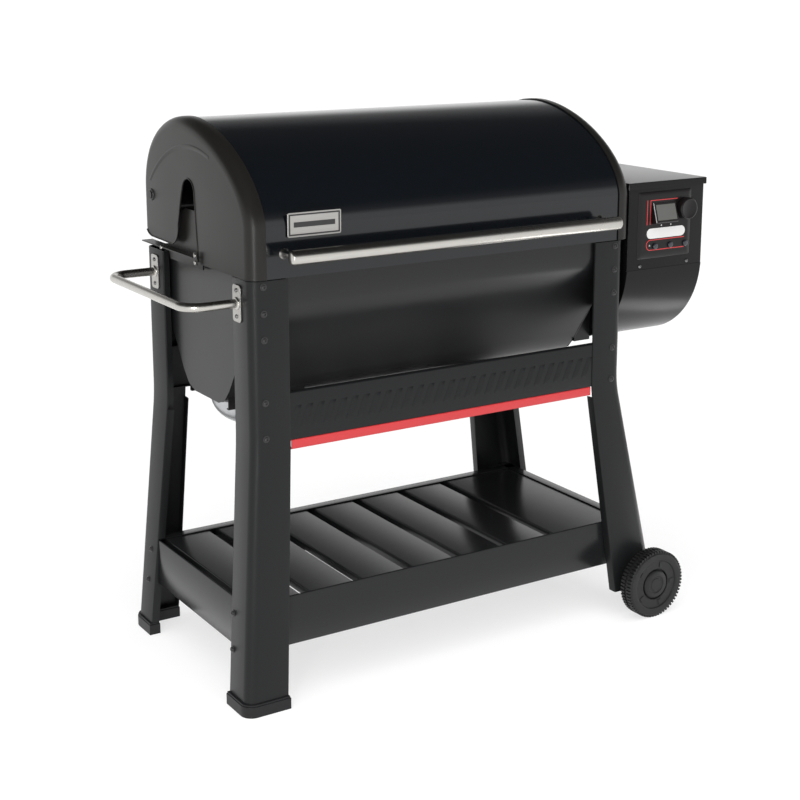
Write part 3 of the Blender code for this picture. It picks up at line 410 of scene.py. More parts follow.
LID_EDGE = {-1: node_box("lid_left_cap")[0].x - MID, 1: node_box("lid_right_cap")[1].x - MID}
LID_HALF_DEPTH = 0.257
LID_BOTTOM = SKIN_LOW.z
LID_TOP = node_box("lid_left_cap")[1].z
LID_CREST_Y = 0.05
FRONT_STRAIGHT = 0.984
REAR_STRAIGHT = 1.010
CAP_RIM = 0.036
CAP_ROUND = 0.026
SKIN_SET_IN = 3 * MM
PIVOT = (0.203, 1.001)


def lid_profile(inset=0.0, bottom=LID_BOTTOM, rear_bottom=LID_BOTTOM, steps=26):
    """Side view of the lid from the front bottom edge over the crest to the rear bottom edge."""
    front_span, front_rise = LID_HALF_DEPTH + LID_CREST_Y - inset, LID_TOP - FRONT_STRAIGHT - inset
    rear_span, rear_rise = LID_HALF_DEPTH - LID_CREST_Y - inset - 0.004, LID_TOP - REAR_STRAIGHT - inset
    points = [(LID_CREST_Y - front_span, bottom + (FRONT_STRAIGHT - bottom) * i / 4) for i in range(4)]
    for i in range(steps):
        angle = math.radians(90 * (i / steps) ** 1.15)
        points.append((LID_CREST_Y - front_span * math.cos(angle) ** (2 / 1.7),
                       FRONT_STRAIGHT + front_rise * math.sin(angle) ** (2 / 1.7)))
    for i in range(steps + 1):
        angle = math.radians(90 * i / steps)
        points.append((LID_CREST_Y + rear_span * math.sin(angle) ** (2 / 2.2),
                       REAR_STRAIGHT + rear_rise * math.cos(angle) ** (2 / 2.2)))
    points += [(LID_CREST_Y + rear_span, rear_bottom + (REAR_STRAIGHT - rear_bottom) * (3 - i) / 4) for i in range(4)]
    return points


def make_lid_skin():
    bm = bmesh.new()
    profile = lid_profile(SKIN_SET_IN, LID_BOTTOM, 0.905)
    hem = [(profile[0][0] + 5 * MM, LID_BOTTOM + 0.5 * MM), (profile[0][0] + 1.5 * MM, LID_BOTTOM)]
    line = hem + profile
    stations = [SKIN_LOW.x + (SKIN_HIGH.x - SKIN_LOW.x) * i / 12 for i in range(13)]
    loft(bm, [[Vector((x, y, z)) for y, z in line] for x in stations])
    face_away(bm, at(0.0, 0.0, 1.0))
    finish_piece("lid_skin_shell", bm, ENAMEL, "lid", "lid_enamel", smooth=50, thickness=1.6 * MM,
                 replaces=["lid_skin"])


def slot_line():
    """The open-bottomed slot in an end cap and the raised rear corner beside it."""
    yield (-0.027, LID_BOTTOM - 0.02)
    yield (-0.018, 0.975)
    yield from arc((0.0145, 1.0265), 0.029, 180, 20, 16)
    yield (0.0505, 1.0150)
    yield (0.0580, 0.9910)
    yield (0.0645, 0.9680)
    yield from arc((0.108, 0.9480), 0.039, 172, 270, 12)
    yield from arc((0.205, 0.951), 0.040, 270, 358, 10)
    yield (0.300, 0.951)
    yield (0.300, LID_BOTTOM - 0.02)


def cutter(name, bm):
    bmesh.ops.recalc_face_normals(bm, faces=bm.faces)
    return mesh_object(name, bm)


def apply_all(piece, tools=()):
    """Bakes a piece's modifiers into its mesh and removes the cutters."""
    bpy.context.view_layer.update()
    ready = piece.evaluated_get(bpy.context.evaluated_depsgraph_get())
    mesh = bpy.data.meshes.new_from_object(ready)
    piece.modifiers.clear()
    piece.data = mesh
    for tool in tools:
        bpy.data.objects.remove(tool)


def cut(piece, tools, smooth=None):
    """Takes the cutters out of a piece, and removes them."""
    for tool in tools:
        change = piece.modifiers.new("cut", "BOOLEAN")
        change.operation = "DIFFERENCE"
        change.solver = "EXACT"
        change.object = tool
    apply_all(piece, tools)
    if smooth:
        mark_sharp(piece, smooth)


def end_cap_shell(name, side, node):
    outer = LID_EDGE[side]
    bm = bmesh.new()
    rings = [(outer - side * CAP_RIM, 0.0), (outer - side * (CAP_RIM + CAP_ROUND) / 2, 0.0)]
    for i in range(9):
        turn = math.radians(90 * i / 8)
        rings.append((outer - side * CAP_ROUND * (1 - math.sin(turn)), CAP_ROUND * (1 - math.cos(turn))))
    grid = loft(bm, [[at(x, y, z) for y, z in lid_profile(inset)] for x, inset in rings])
    bm.faces.new(grid[-1])
    face_away(bm, at(outer - side * 0.2, 0.0, 1.0))
    cap = finish_piece(name, bm, CAP, "lid", "cap_black", smooth=30, thickness=SHEET)
    tools = []
    low, high = sorted((outer + side * 0.01, outer - side * (CAP_RIM + 0.01)))
    bm = bmesh.new()
    outline_prism(bm, list(slot_line()), low, high, lambda y, z, x: at(x, y, z))
    tools.append(cutter("slot_tool", bm))
    rim = sorted((outer - side * 2.6 * MM, outer - side * (CAP_RIM + 0.01)))
    bm = bmesh.new()
    block(bm, at(rim[0], 0.200, 0.85), at(rim[1], 0.300, 0.978))
    tools.append(cutter("rim_tool", bm))
    cut(cap, tools, 30)
    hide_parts(node)


def cap_trim(side, label):
    """The pressed line round the slot, the slot's folded edge and the recessed pivot washer."""
    bm = bmesh.new()
    face = LID_EDGE[side] + side * 0.2 * MM
    edge = [(-0.0265, 0.889)] + [(y, z) for y, z in slot_line() if z > 0.889 and y < 0.235]
    tube_along(bm, [at(face, y, z) for y, z in edge], 1.5 * MM, 8)
    rows = []
    for i in range(33):
        t = i / 32
        angle = math.radians(44 + 64 * t)
        height = 1.6 * MM * max(math.sin(math.pi * (0.06 + 0.92 * t)), 0.02) ** 0.5
        row = []
        for across, rise in ((-9 * MM, -0.2 * MM), (-5 * MM, 0.35 * height), (-1.5 * MM, height), (1 * MM, 0.9 * height),
                             (2.5 * MM, -0.2 * MM)):
            radius = 0.290 + across
            row.append(at(LID_EDGE[side] + side * rise, 0.0018 + radius * math.cos(angle) * 0.99,
                          0.8328 + radius * math.sin(angle)))
        rows.append(row)
    loft(bm, rows)
    finish_solid(f"{label}_cap_trim", bm, CAP, "lid", "cap_black", smooth=60)
    washer = [(0.0, 3.0 * MM), (3.0 * MM, 3.0 * MM), (3.4 * MM, 3.8 * MM), (6.6 * MM, 3.8 * MM),
              (8.0 * MM, 2.6 * MM), (12.0 * MM, 2.2 * MM), (13.0 * MM, 0.4 * MM), (13.0 * MM, -0.2 * MM), (0.0, -0.2 * MM)]
    bm = bmesh.new()
    lathe(bm, washer, facing(at(LID_EDGE[side], *PIVOT), (side, 0, 0)), 32)
    finish_solid(f"{label}_pivot_washer", bm, DARK_BOLT, "lid", "cap_black", smooth=40)


def make_lid_handle():
    low, high = node_box("lid_handle")
    radius = (high.z - low.z) / 2
    y, z = low.y + radius, (low.z + high.z) / 2
    bm = bmesh.new()
    half = (high.x - low.x) / 2
    dome = 6 * MM
    profile = [(0.0, -half), (radius * 0.55, -half), (radius * 0.80, -half + 0.25 * dome),
               (radius * 0.94, -half + 0.6 * dome), (radius, -half + dome)]
    profile += [(r, -h) for r, h in reversed(profile)]
    lathe(bm, profile, facing(at(0.0, y, z), (1, 0, 0)), 48)
    for x in (-0.390, 0.390):
        back = node_box("lid_skin")[0].y - y
        foot = [(0.0, 0.0), (6.5 * MM, 0.0), (6.5 * MM, back - 8 * MM), (9.0 * MM, back - 3 * MM),
                (11.0 * MM, back - 0.2 * MM), (0.0, back - 0.2 * MM)]
        lathe(bm, foot, facing(at(x, y, z), (0, 1, 0)), 24)
    finish_solid("lid_handle_bar", bm, STEEL, "lid", "stainless", smooth=50, replaces=["lid_handle"])


def make_badge():
    low, high = node_box("badge_plate")
    bm = bmesh.new()
    x0, x1 = low.x, high.x
    front = low.y
    outline_prism(bm, list(rounded(x0, x1, low.z, high.z, 4 * MM)), front + 1.2 * MM, high.y,
                  lambda x, z, y: Vector((x, y, z)))
    finish_solid("badge_back", bm, BRUSHED, "lid", "stainless", bevel=0.6 * MM, replaces=["badge_plate"])
    bm = bmesh.new()
    rail = 3 * MM
    for a, b, c, d in ((x0 + rail, x1 - rail, high.z - 2 * rail, high.z - rail),
                       (x0 + rail, x1 - rail, low.z + rail, low.z + 2 * rail),
                       (x0 + rail, x0 + 2 * rail, low.z + 2 * rail, high.z - 2 * rail),
                       (x1 - 2 * rail, x1 - rail, low.z + 2 * rail, high.z - 2 * rail)):
        block(bm, (a, front + 0.4 * MM, c), (b, front + 1.3 * MM, d))
    middle = (low.z + high.z) / 2
    block(bm, (x0 + 14 * MM, front + 0.2 * MM, middle - 5 * MM), (x1 - 14 * MM, front + 1.3 * MM, middle + 5 * MM))
    finish_piece("badge_relief", bm, DARK_BOLT, "lid", "stainless", bevel=0.4 * MM)


# ---------------------------------------------------------------- cook box

BOX_HALF_DEPTH = 0.2445
BOX_TOP = node_box("cook_box")[1].z
BOX_END = 0.4425
BOX_FLOOR = 0.599


def box_line():
    """Side view of the cook box, from the front rim under the floor to the rear rim."""
    front = [(-BOX_HALF_DEPTH, BOX_TOP), (-BOX_HALF_DEPTH, 0.870), (-BOX_HALF_DEPTH, 0.855)]
    front += [(-0.2438, 0.845), (-0.2418, 0.836), (-0.2385, 0.825), (-0.2100, 0.7825), (-0.1700, 0.7240),
              (-0.1280, 0.6640), (-0.1180, 0.6485), (-0.1080, 0.6335), (-0.0975, 0.6210), (-0.0870, 0.6105),
              (-0.0740, 0.6030), (-0.0580, BOX_FLOOR)]
    return front + [(-y, z) for y, z in reversed(front)]


def make_cook_box():
    bm = bmesh.new()
    stations = [-BOX_END + 2 * BOX_END * i / 8 for i in range(9)]
    loft(bm, [[at(x * 0.9993, y, z) for y, z in box_line()] for x in stations])
    face_away(bm, at(0.0, 0.0, 0.9))
    wrap = finish_piece("cook_box_shell", bm, BODY, "grill", "body_black", smooth=45, thickness=SHEET)
    bm = bmesh.new()
    lathe(bm, [(0.0, -0.03), (0.016, -0.03), (0.016, 0.03), (0.0, 0.03)], Matrix.Translation(at(-0.345, 0.0, BOX_FLOOR)), 32)
    cut(wrap, [cutter("drain_tool", bm)], 45)
    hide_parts("cook_box")
    bm = bmesh.new()
    for depth in (-1, 1):
        for a, b, c, d in ((0.0915, 0.0935, 0.5895, 0.6189), (0.0845, 0.0925, 0.5895, 0.5920)):
            ys = sorted((depth * a, depth * b))
            block(bm, at(-BOX_END + 0.003, ys[0], c), at(-0.262, ys[1], d))
    finish_piece("bowl_rails", bm, BODY, "grill", "body_black", bevel=0.3 * MM)
    for label in ("left", "right"):
        paint_node(f"cook_box_{label}_end", BODY)
        paint_node(f"{label}_hinge_bracket", CAP)
    for name in ("cooking_grate", "warming_rack"):
        paint_node(name, GRATE)
    for name in ("drip_tray", "firepot", "auger_tube", "auger"):
        paint_node(name, RAW)
    paint_node("chamber_probe", STEEL)
    paint_node("auger_motor", MOTOR)
    paint_node("pellet_bin", ZINC)
    paint_node("fan_wheel", PLASTIC)
    paint_node("power_inlet", PLASTIC)


def make_bowl():
    low, high = node_box("grease_bowl")
    centre = (low + high) / 2
    radius, depth, top = 0.082, high.z - low.z, high.z
    rim = (high.x - low.x) / 2
    bm = bmesh.new()
    angles = [math.radians(90 * i / 16) for i in range(17)]
    profile = [((radius - SHEET) * math.sin(a), -(depth - SHEET) * math.cos(a)) for a in angles]
    profile += [(rim - 1 * MM, 0.0), (rim, -0.5 * MM), (rim - 0.6 * MM, -1.5 * MM), (radius + 0.8 * MM, -1.5 * MM)]
    profile += [(radius * math.sin(a), -depth * math.cos(a)) for a in reversed(angles[:-1])]
    lathe(bm, profile, Matrix.Translation((centre.x, centre.y, top)), 56)
    finish_solid("grease_bowl_shell", bm, ZINC, "grease_bowl", "galvanised", smooth=50, replaces=["grease_bowl"])


# ---------------------------------------------------------------- legs and stand

LEG_X, LEG_X_INNER = 0.464, 0.381
LEG_Y, LEG_Y_INNER = {-1: 0.254, 1: 0.250}, {-1: 0.173, 1: 0.160}
SPLAY_X, SPLAY_X_INNER = {-1: 0.0721, 1: 0.216}, {-1: 0.0515, 1: 0.139}
SPLAY_Y, SPLAY_Y_INNER = {-1: 0.0446, 1: 0.0649}, {-1: 0.0410, 1: 0.0811}
LEG_BEND = 0.555
SKIRT_OF_LEG = 0.532                          # the wide lips run below this height
LEG_LIP = 18 * MM
LEG_CORNER = 22 * MM
PANEL_TOP = node_box("front_panel")[1].z
PANEL_BOTTOM = node_box("front_panel")[0].z


def soft_drop(z):
    """How far below the bend a height is, eased over the bend."""
    ease = 0.03
    drop = LEG_BEND - z
    if drop <= -ease:
        return 0.0
    return drop if drop >= ease else (drop + ease) ** 2 / (4 * ease)


def leg_sizes(side, depth, z):
    drop = soft_drop(z)
    return (LEG_X + SPLAY_X[side] * drop, LEG_X_INNER + SPLAY_X_INNER[side] * drop,
            LEG_Y[depth] + SPLAY_Y[depth] * drop, LEG_Y_INNER[depth] + SPLAY_Y_INNER[depth] * drop)


def leg_section(side, depth, z):
    """Plan of a leg: a lip, the side face, a rounded corner, the front face and a lip."""
    x_out, x_in, y_out, y_in = leg_sizes(side, depth, z)
    above = z > SKIRT_OF_LEG
    lip_front = 0.4 * MM if above else LEG_LIP
    lip_side = 2.6 * MM if above else LEG_LIP
    points = [(x_out - lip_side, y_in), (x_out - 3 * MM, y_in), (x_out - 0.8 * MM, y_in + 0.8 * MM), (x_out, y_in + 3 * MM)]
    for i in range(13):
        turn = math.radians(90 * i / 12)
        points.append((x_out - LEG_CORNER * (1 - math.cos(turn)), y_out - LEG_CORNER * (1 - math.sin(turn))))
    points += [(x_in + 3 * MM, y_out), (x_in + 0.8 * MM, y_out - 0.8 * MM), (x_in, y_out - 3 * MM),
               (x_in, y_out - 3 * MM - lip_front)]
    return [at(side * x, depth * y, z) for x, y in points]


def make_leg(side, depth, label):
    low, high = node_box(label + "_leg")
    levels = [high.z, 0.70, 0.60, 0.59, 0.58, 0.57, 0.56, 0.55, 0.54, 0.5325, 0.5315, 0.52, 0.40, 0.25, low.z]
    bm = bmesh.new()
    loft(bm, [leg_section(side, depth, z) for z in levels])
    face_away(bm, at(side * 0.25, depth * 0.1, 0.5))
    leg = finish_piece(label + "_leg_shell", bm, POWDER, "grill", "leg_black", smooth=35, thickness=SHEET)
    bm = bmesh.new()
    if side < 0:
        xs = sorted((side * 0.46, side * 0.4853))
        ys = sorted((depth * LEG_Y_INNER[depth], depth * (LEG_Y_INNER[depth] + 0.045)))
        block(bm, at(xs[0], ys[0], 0.118), at(xs[1], ys[1], 0.231))
    else:
        lathe(bm, [(0.0, -0.05), (6.3 * MM, -0.05), (6.3 * MM, 0.05), (0.0, 0.05)],
              facing(at(0.528, depth * 0.27, 0.08), (0, 1, 0)), 32)
    cut(leg, [cutter("leg_tool", bm)], 35)
    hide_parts(label + "_leg")


def foot_outline(side, depth, grow):
    x_out, x_in, y_out, y_in = leg_sizes(side, depth, 0.0)
    x_far, x_near, y_far, y_near = x_out + grow, x_in - grow, y_out + grow, y_in - grow
    wide = LEG_LIP + 2 * grow
    corner = LEG_CORNER + grow
    points = [(x_near, y_far)]
    points += arc((x_far - corner, y_far - corner), corner, 90, 0, 10)
    points += [(x_far, y_near), (x_far - wide, y_near), (x_far - wide, y_far - wide), (x_near, y_far - wide)]
    return [(side * x, depth * y) for x, y in points]


def make_foot(depth, label):
    low, high = node_box(label + "_foot")
    bm = bmesh.new()
    outline_prism(bm, foot_outline(-1, depth, 4 * MM), low.z, high.z - 4 * MM, lambda x, y, z: at(x, y, z))
    outline_prism(bm, foot_outline(-1, depth, 2.6 * MM), high.z - 4.2 * MM, high.z, lambda x, y, z: at(x, y, z))
    finish_solid(label + "_foot_shell", bm, PLASTIC, "grill", "foot_plastic", bevel=1.2 * MM, segments=3,
                 replaces=[label + "_foot"])


LOUVRE_COUNT = 29
LOUVRE_PITCH = 26.3 * MM
LOUVRE_HALF_HEIGHT = 22 * MM
LOUVRE_LEAN = 9 * MM
LOUVRE_RISE = 3.2 * MM


def louvre(bm, centre_x, face, depth):
    """One pressed louvre: a hood that rises to an open lip along one slanted edge, with a near-black slit of painted
    shadow below it.
    """
    long_steps, wide_steps = 10, 5
    width = 11 * MM
    middle = (PANEL_TOP + PANEL_BOTTOM) / 2
    rows = []
    for i in range(long_steps + 1):
        along = -1 + 2 * i / long_steps
        height = LOUVRE_RISE * math.sqrt(max(1 - along ** 4, 0.0))
        row = []
        for k in range(wide_steps + 1):
            across = k / wide_steps
            rise = height * across ** 0.7
            x = centre_x + LOUVRE_LEAN * along + (across - 1) * width
            row.append(at(x, face + depth * (rise + 0.25 * MM), middle + LOUVRE_HALF_HEIGHT * along - 1.5 * MM))
        rows.append(row)
    loft(bm, rows, material=0)
    # The slit is painted shadow: a flat near-black face where the opening under the lip would lie in shade.
    gap = [(centre_x + LOUVRE_LEAN * a + b, middle + LOUVRE_HALF_HEIGHT * 0.94 * a)
           for a, b in ((-1, -0.6 * MM), (-1, 1.6 * MM), (1, 1.6 * MM), (1, -0.6 * MM))]
    verts = [bm.verts.new(at(x, face + depth * 0.15 * MM, z)) for x, z in gap]
    bm.faces.new(verts).material_index = 1


def make_panel(depth, label):
    low, high = node_box(label + "_panel")
    face = low.y if depth < 0 else high.y
    half = (high.x - low.x) / 2
    bm = bmesh.new()
    back = face - depth * 15 * MM
    soft = 2 * MM
    line = [(back, low.z), (face - depth * soft, low.z), (face - depth * 0.5 * MM, low.z + 0.5 * MM), (face, low.z + soft),
            (face, high.z - soft), (face - depth * 0.5 * MM, high.z - 0.5 * MM), (face - depth * soft, high.z), (back, high.z)]
    loft(bm, [[at(x, y, z) for y, z in line] for x in (-half, 0.0, half)])
    face_away(bm, at(0.0, 0.0, (low.z + high.z) / 2))
    finish_piece(label + "_panel_sheet", bm, POWDER, "grill", "leg_black", smooth=60, thickness=SHEET,
                 replaces=[label + "_panel"])
    bm = bmesh.new()
    first = -LOUVRE_PITCH * (LOUVRE_COUNT - 1) / 2
    for i in range(LOUVRE_COUNT):
        louvre(bm, first + LOUVRE_PITCH * i + 2 * MM, face, depth)
    finish_solid(label + "_louvres", bm, [POWDER, PAINTED_SHADOW], "grill", "leg_black", smooth=60)


def make_rail():
    low, high = node_box("accent_rail")
    bm = bmesh.new()
    soft = 2 * MM
    line = [(high.y, low.z), (low.y + soft, low.z), (low.y + 0.5 * MM, low.z + 0.5 * MM), (low.y, low.z + soft),
            (low.y, high.z - soft), (low.y + 0.5 * MM, high.z - 0.5 * MM), (low.y + soft, high.z), (high.y, high.z)]
    loft(bm, [[Vector((x, y, z)) for y, z in line] for x in (low.x, high.x)])
    face_away(bm, Vector(((low.x + high.x) / 2, 0.0, (low.z + high.z) / 2)))
    finish_piece("accent_rail_sheet", bm, RED, "grill", "accent_red", smooth=60, thickness=SHEET,
                 replaces=["accent_rail"])


def make_slat(i):
    low, high = node_box(f"shelf_slat_{i}")
    bm = bmesh.new()
    soft = 3 * MM
    line = [(low.x, low.z)] + [(low.x + soft - soft * math.cos(math.radians(a)), high.z - soft + soft * math.sin(math.radians(a)))
                               for a in (0, 22, 45, 68, 90)]
    line += [(low.x + high.x - x, z) for x, z in reversed(line)]
    rows = [low.y, low.y + 0.01, high.y - 0.01, high.y]
    loft(bm, [[Vector((x, y, z)) for x, z in line] for y in rows])
    face_away(bm, Vector(((low.x + high.x) / 2, (low.y + high.y) / 2, low.z - 0.05)))
    finish_piece(f"slat_{i}_sheet", bm, SHELF, "grill", "shelf_black", smooth=35, thickness=SHEET,
                 replaces=[f"shelf_slat_{i}"])


def make_skirts():
    """Skirts with a rolled top edge. The rear and right ones have a flange folded in over the slats."""
    flange = 25 * MM
    for name, axis, sign, top_flange in (("front_skirt", 1, -1, 3 * MM), ("rear_skirt", 1, 1, flange),
                                         ("left_skirt", 0, -1, 3 * MM), ("right_skirt", 0, 1, flange)):
        low, high = node_box(name)
        face = low[axis] if sign < 0 else high[axis]
        top = high.z + (2.4 * MM if top_flange > 5 * MM else 0.5 * MM)
        soft = 2 * MM
        line = [(face - sign * 10 * MM, low.z), (face - sign * soft, low.z), (face, low.z + soft), (face, top - soft),
                (face - sign * 0.6 * MM, top - 0.6 * MM), (face - sign * soft, top), (face - sign * top_flange, top)]
        bm = bmesh.new()
        other = 1 - axis
        rows = []
        for end in (low[other], high[other]):
            rows.append([Vector((end, a, z)) if axis == 1 else Vector((a, end, z)) for a, z in line])
        loft(bm, rows)
        inside = (low + high) / 2
        inside.z = 0.15
        inside[axis] -= sign * 0.1
        face_away(bm, inside)
        finish_piece(name + "_sheet", bm, SHELF, "grill", "shelf_black", smooth=60, thickness=1.6 * MM, replaces=[name])
    bm = bmesh.new()
    for name, sign in (("front_skirt", -1), ("rear_skirt", 1)):
        low, high = node_box(name)
        face = low.y if sign < 0 else high.y
        ys = sorted((face - sign * 2.2 * MM, face - sign * 18 * MM))
        block(bm, (low.x, ys[0], 0.2080), (high.x, ys[1], 0.2100))
    finish_piece("shelf_ledges", bm, SHELF, "grill", "shelf_black", bevel=0.3 * MM)


# ---------------------------------------------------------------- wheels


def wheel_shell(label, depth):
    low, high = node_box(label + "_wheel")
    centre = (low + high) / 2
    radius = (high.z - low.z) / 2
    inner = high.y if depth < 0 else low.y
    width = high.y - low.y
    bore = 6.3 * MM
    rim = radius - 3.5 * MM
    profile = [(bore, 0.0), (20 * MM, 0.0), (21 * MM, 6 * MM), (58 * MM, 6 * MM), (62 * MM, 1.5 * MM),
               (rim - 4 * MM, 0.5 * MM), (rim, 4 * MM), (rim + 0.6 * MM, width / 2), (rim, width - 4 * MM),
               (rim - 4 * MM, width - 0.5 * MM), (62 * MM, width), (58.5 * MM, width - 1.0 * MM),
               (57 * MM, width - 3.4 * MM), (38 * MM, width - 3.4 * MM), (36.5 * MM, width - 4.5 * MM),
               (36 * MM, width - 10 * MM), (bore, width - 10 * MM), (bore, 0.0)]
    frame_at = facing(Vector((centre.x, inner, centre.z)), (0, depth, 0))
    bm = bmesh.new()
    lathe(bm, profile, frame_at, 72)
    blocks = 60
    for row, (start, end) in enumerate(((2.5 * MM, 15 * MM), (width - 15 * MM, width - 2.5 * MM))):
        for i in range(blocks):
            angle = 2 * math.pi * (i + 0.5 * row) / blocks
            spin = frame_at @ Matrix.Rotation(angle, 4, "Z")
            half = 2.7 * MM
            corners = [(rim - 2 * MM, -half), (radius - 0.2 * MM, -half * 0.85), (radius - 0.2 * MM, half * 0.85), (rim - 2 * MM, half)]
            outline_prism(bm, corners, start, end, lambda r, t, h: spin @ Vector((r, t, h)))
    for i in range(5):
        angle = 2 * math.pi * i / 5
        spin = frame_at @ Matrix.Rotation(angle, 4, "Z")
        rib = [(41 * MM, -4.5 * MM), (54 * MM, -6.0 * MM), (54 * MM, 6.0 * MM), (41 * MM, 4.5 * MM)]
        outline_prism(bm, rib, width - 4 * MM, width - 2.2 * MM, lambda r, t, h: spin @ Vector((r, t, h)))
    finish_solid(label + "_wheel_shell", bm, WHEEL, label + "_wheel_set", "wheel_plastic", smooth=30,
                 replaces=[label + "_wheel"])
    low, high = node_box(label + "_hub_cap")
    outer = low.y if depth < 0 else high.y
    bm = bmesh.new()
    cap_radius = (high.z - low.z) / 2
    profile = [(0.0, 6.8 * MM), (14 * MM, 6.8 * MM), (15 * MM, 5.6 * MM), (20 * MM, 5.6 * MM), (21 * MM, 6.8 * MM),
               (cap_radius - 4 * MM, 6.4 * MM), (cap_radius - 1 * MM, 4.4 * MM), (cap_radius, 1.5 * MM), (cap_radius, 0.0), (0.0, 0.0)]
    lathe(bm, profile, facing(Vector((centre.x, outer - depth * 7 * MM, centre.z)), (0, depth, 0)), 56)
    finish_solid(label + "_hub_cap_shell", bm, WHEEL, label + "_wheel_set", "wheel_plastic", smooth=40,
                 replaces=[label + "_hub_cap"])


def make_wheels():
    for label, depth in (("front", -1), ("rear", 1)):
        wheel_shell(label, depth)
    paint_node("wheel_axle", BOLT)


# ---------------------------------------------------------------- side handle


def make_side_handle():
    low, high = node_box("side_handle")
    radius = (high.z - low.z) / 2
    z = (low.z + high.z) / 2
    end_y = high.y - radius
    bar_x = low.x + radius
    bend = 40 * MM
    points = [Vector((high.x, -end_y, z)), Vector((high.x - 0.01, -end_y, z))]
    points += [Vector((x, y, z)) for x, y in arc((bar_x + bend, -end_y + bend), bend, 270, 180, 14)]
    points += [Vector((p.x, -p.y, p.z)) for p in reversed(points)]
    bm = bmesh.new()
    tube_along(bm, points, radius, 32)
    for y in (-end_y, end_y):
        collar = [(0.0, 0.0), (13 * MM, 0.0), (12.5 * MM, 1.2 * MM), (radius + 0.4 * MM, 3.2 * MM), (0.0, 3.4 * MM)]
        lathe(bm, collar, facing(Vector((high.x, y, z)), (-1, 0, 0)), 32)
    finish_solid("side_handle_tube", bm, STEEL, "grill", "stainless", smooth=50, replaces=["side_handle"])
    for label, depth in (("front", -1), ("rear", 1)):
        low, high = node_box(label + "_handle_plate")
        bm = bmesh.new()
        outline_prism(bm, list(rounded(low.y, high.y, low.z, high.z, 7 * MM)), low.x, high.x,
                      lambda y, zz, x: Vector((x, y, zz)))
        finish_solid(label + "_handle_plate_shell", bm, BRUSHED, "grill", "stainless", bevel=0.8 * MM,
                     replaces=[label + "_handle_plate"])
        middle = (low + high) / 2
        places = [Vector((low.x, middle.y, middle.z + s * 0.026)) for s in (-1, 1)]
        fasteners(label + "_handle_screws", PAN_SCREW, places, (-1, 0, 0), BOLT, "grill", "stainless")


# ---------------------------------------------------------------- hopper

HOPPER_LEFT, HOPPER_RIGHT = 0.489, 0.7125
HOPPER_FRONT, HOPPER_REAR = -0.235, 0.115
HOPPER_SEAM, HOPPER_RIM = 0.807, 0.999
COVER_ROUND = 0.200


def make_hopper_body():
    bm = bmesh.new()
    soft = 2.5 * MM
    ring = list(rounded(HOPPER_LEFT, HOPPER_RIGHT, HOPPER_FRONT, HOPPER_REAR, soft, 5))
    loft(bm, [[at(x, y, z) for x, y in ring] for z in (HOPPER_SEAM, HOPPER_SEAM + 0.004, HOPPER_RIM)], closed=True)
    face_away(bm, at(0.6, -0.06, 0.9))
    finish_piece("hopper_housing_shell", bm, HOPPER, "grill", "hopper_black", smooth=40, thickness=SHEET,
                 replaces=["hopper_housing"])
    centre = (HOPPER_FRONT + COVER_ROUND, HOPPER_SEAM + 0.012)
    floor_z = centre[1] - COVER_ROUND
    line = [(HOPPER_FRONT, HOPPER_SEAM - 0.6 * MM)] + list(arc(centre, COVER_ROUND, 187, 270, 30))
    line += [(0.02, floor_z), (HOPPER_REAR - 0.008, floor_z)]
    line += list(arc((HOPPER_REAR - 0.004, floor_z + 0.004), 0.004, 270, 360, 4)) + [(HOPPER_REAR, HOPPER_SEAM - 0.6 * MM)]
    bm = bmesh.new()
    loft(bm, [[at(x, y, z) for y, z in line] for x in (HOPPER_LEFT + 0.3 * MM, (HOPPER_LEFT + HOPPER_RIGHT) / 2,
                                                        HOPPER_RIGHT - 0.3 * MM)])
    face_away(bm, at(0.6, -0.06, 0.75))
    finish_piece("hopper_cover_wrap", bm, HOPPER, "grill", "hopper_black", smooth=45, thickness=SHEET,
                 replaces=["hopper_cover"])
    for x, label in ((HOPPER_LEFT, "left"), (HOPPER_RIGHT, "right")):
        sign = 1 if x == HOPPER_RIGHT else -1
        bm = bmesh.new()
        ys = sorted((x - sign * SHEET, x))
        outline_prism(bm, line, ys[0], ys[1], lambda y, z, xx: at(xx, y, z))
        side = finish_solid(f"hopper_cover_{label}", bm, HOPPER, "grill", "hopper_black", bevel=0.8 * MM)
        if sign < 0:
            bm = bmesh.new()
            lathe(bm, [(0.0, -0.02), (0.0265, -0.02), (0.0265, 0.02), (0.0, 0.02)], facing(at(x, 0.0, 0.672), (1, 0, 0)), 32)
            cut(side, [cutter("cover_tool", bm)])


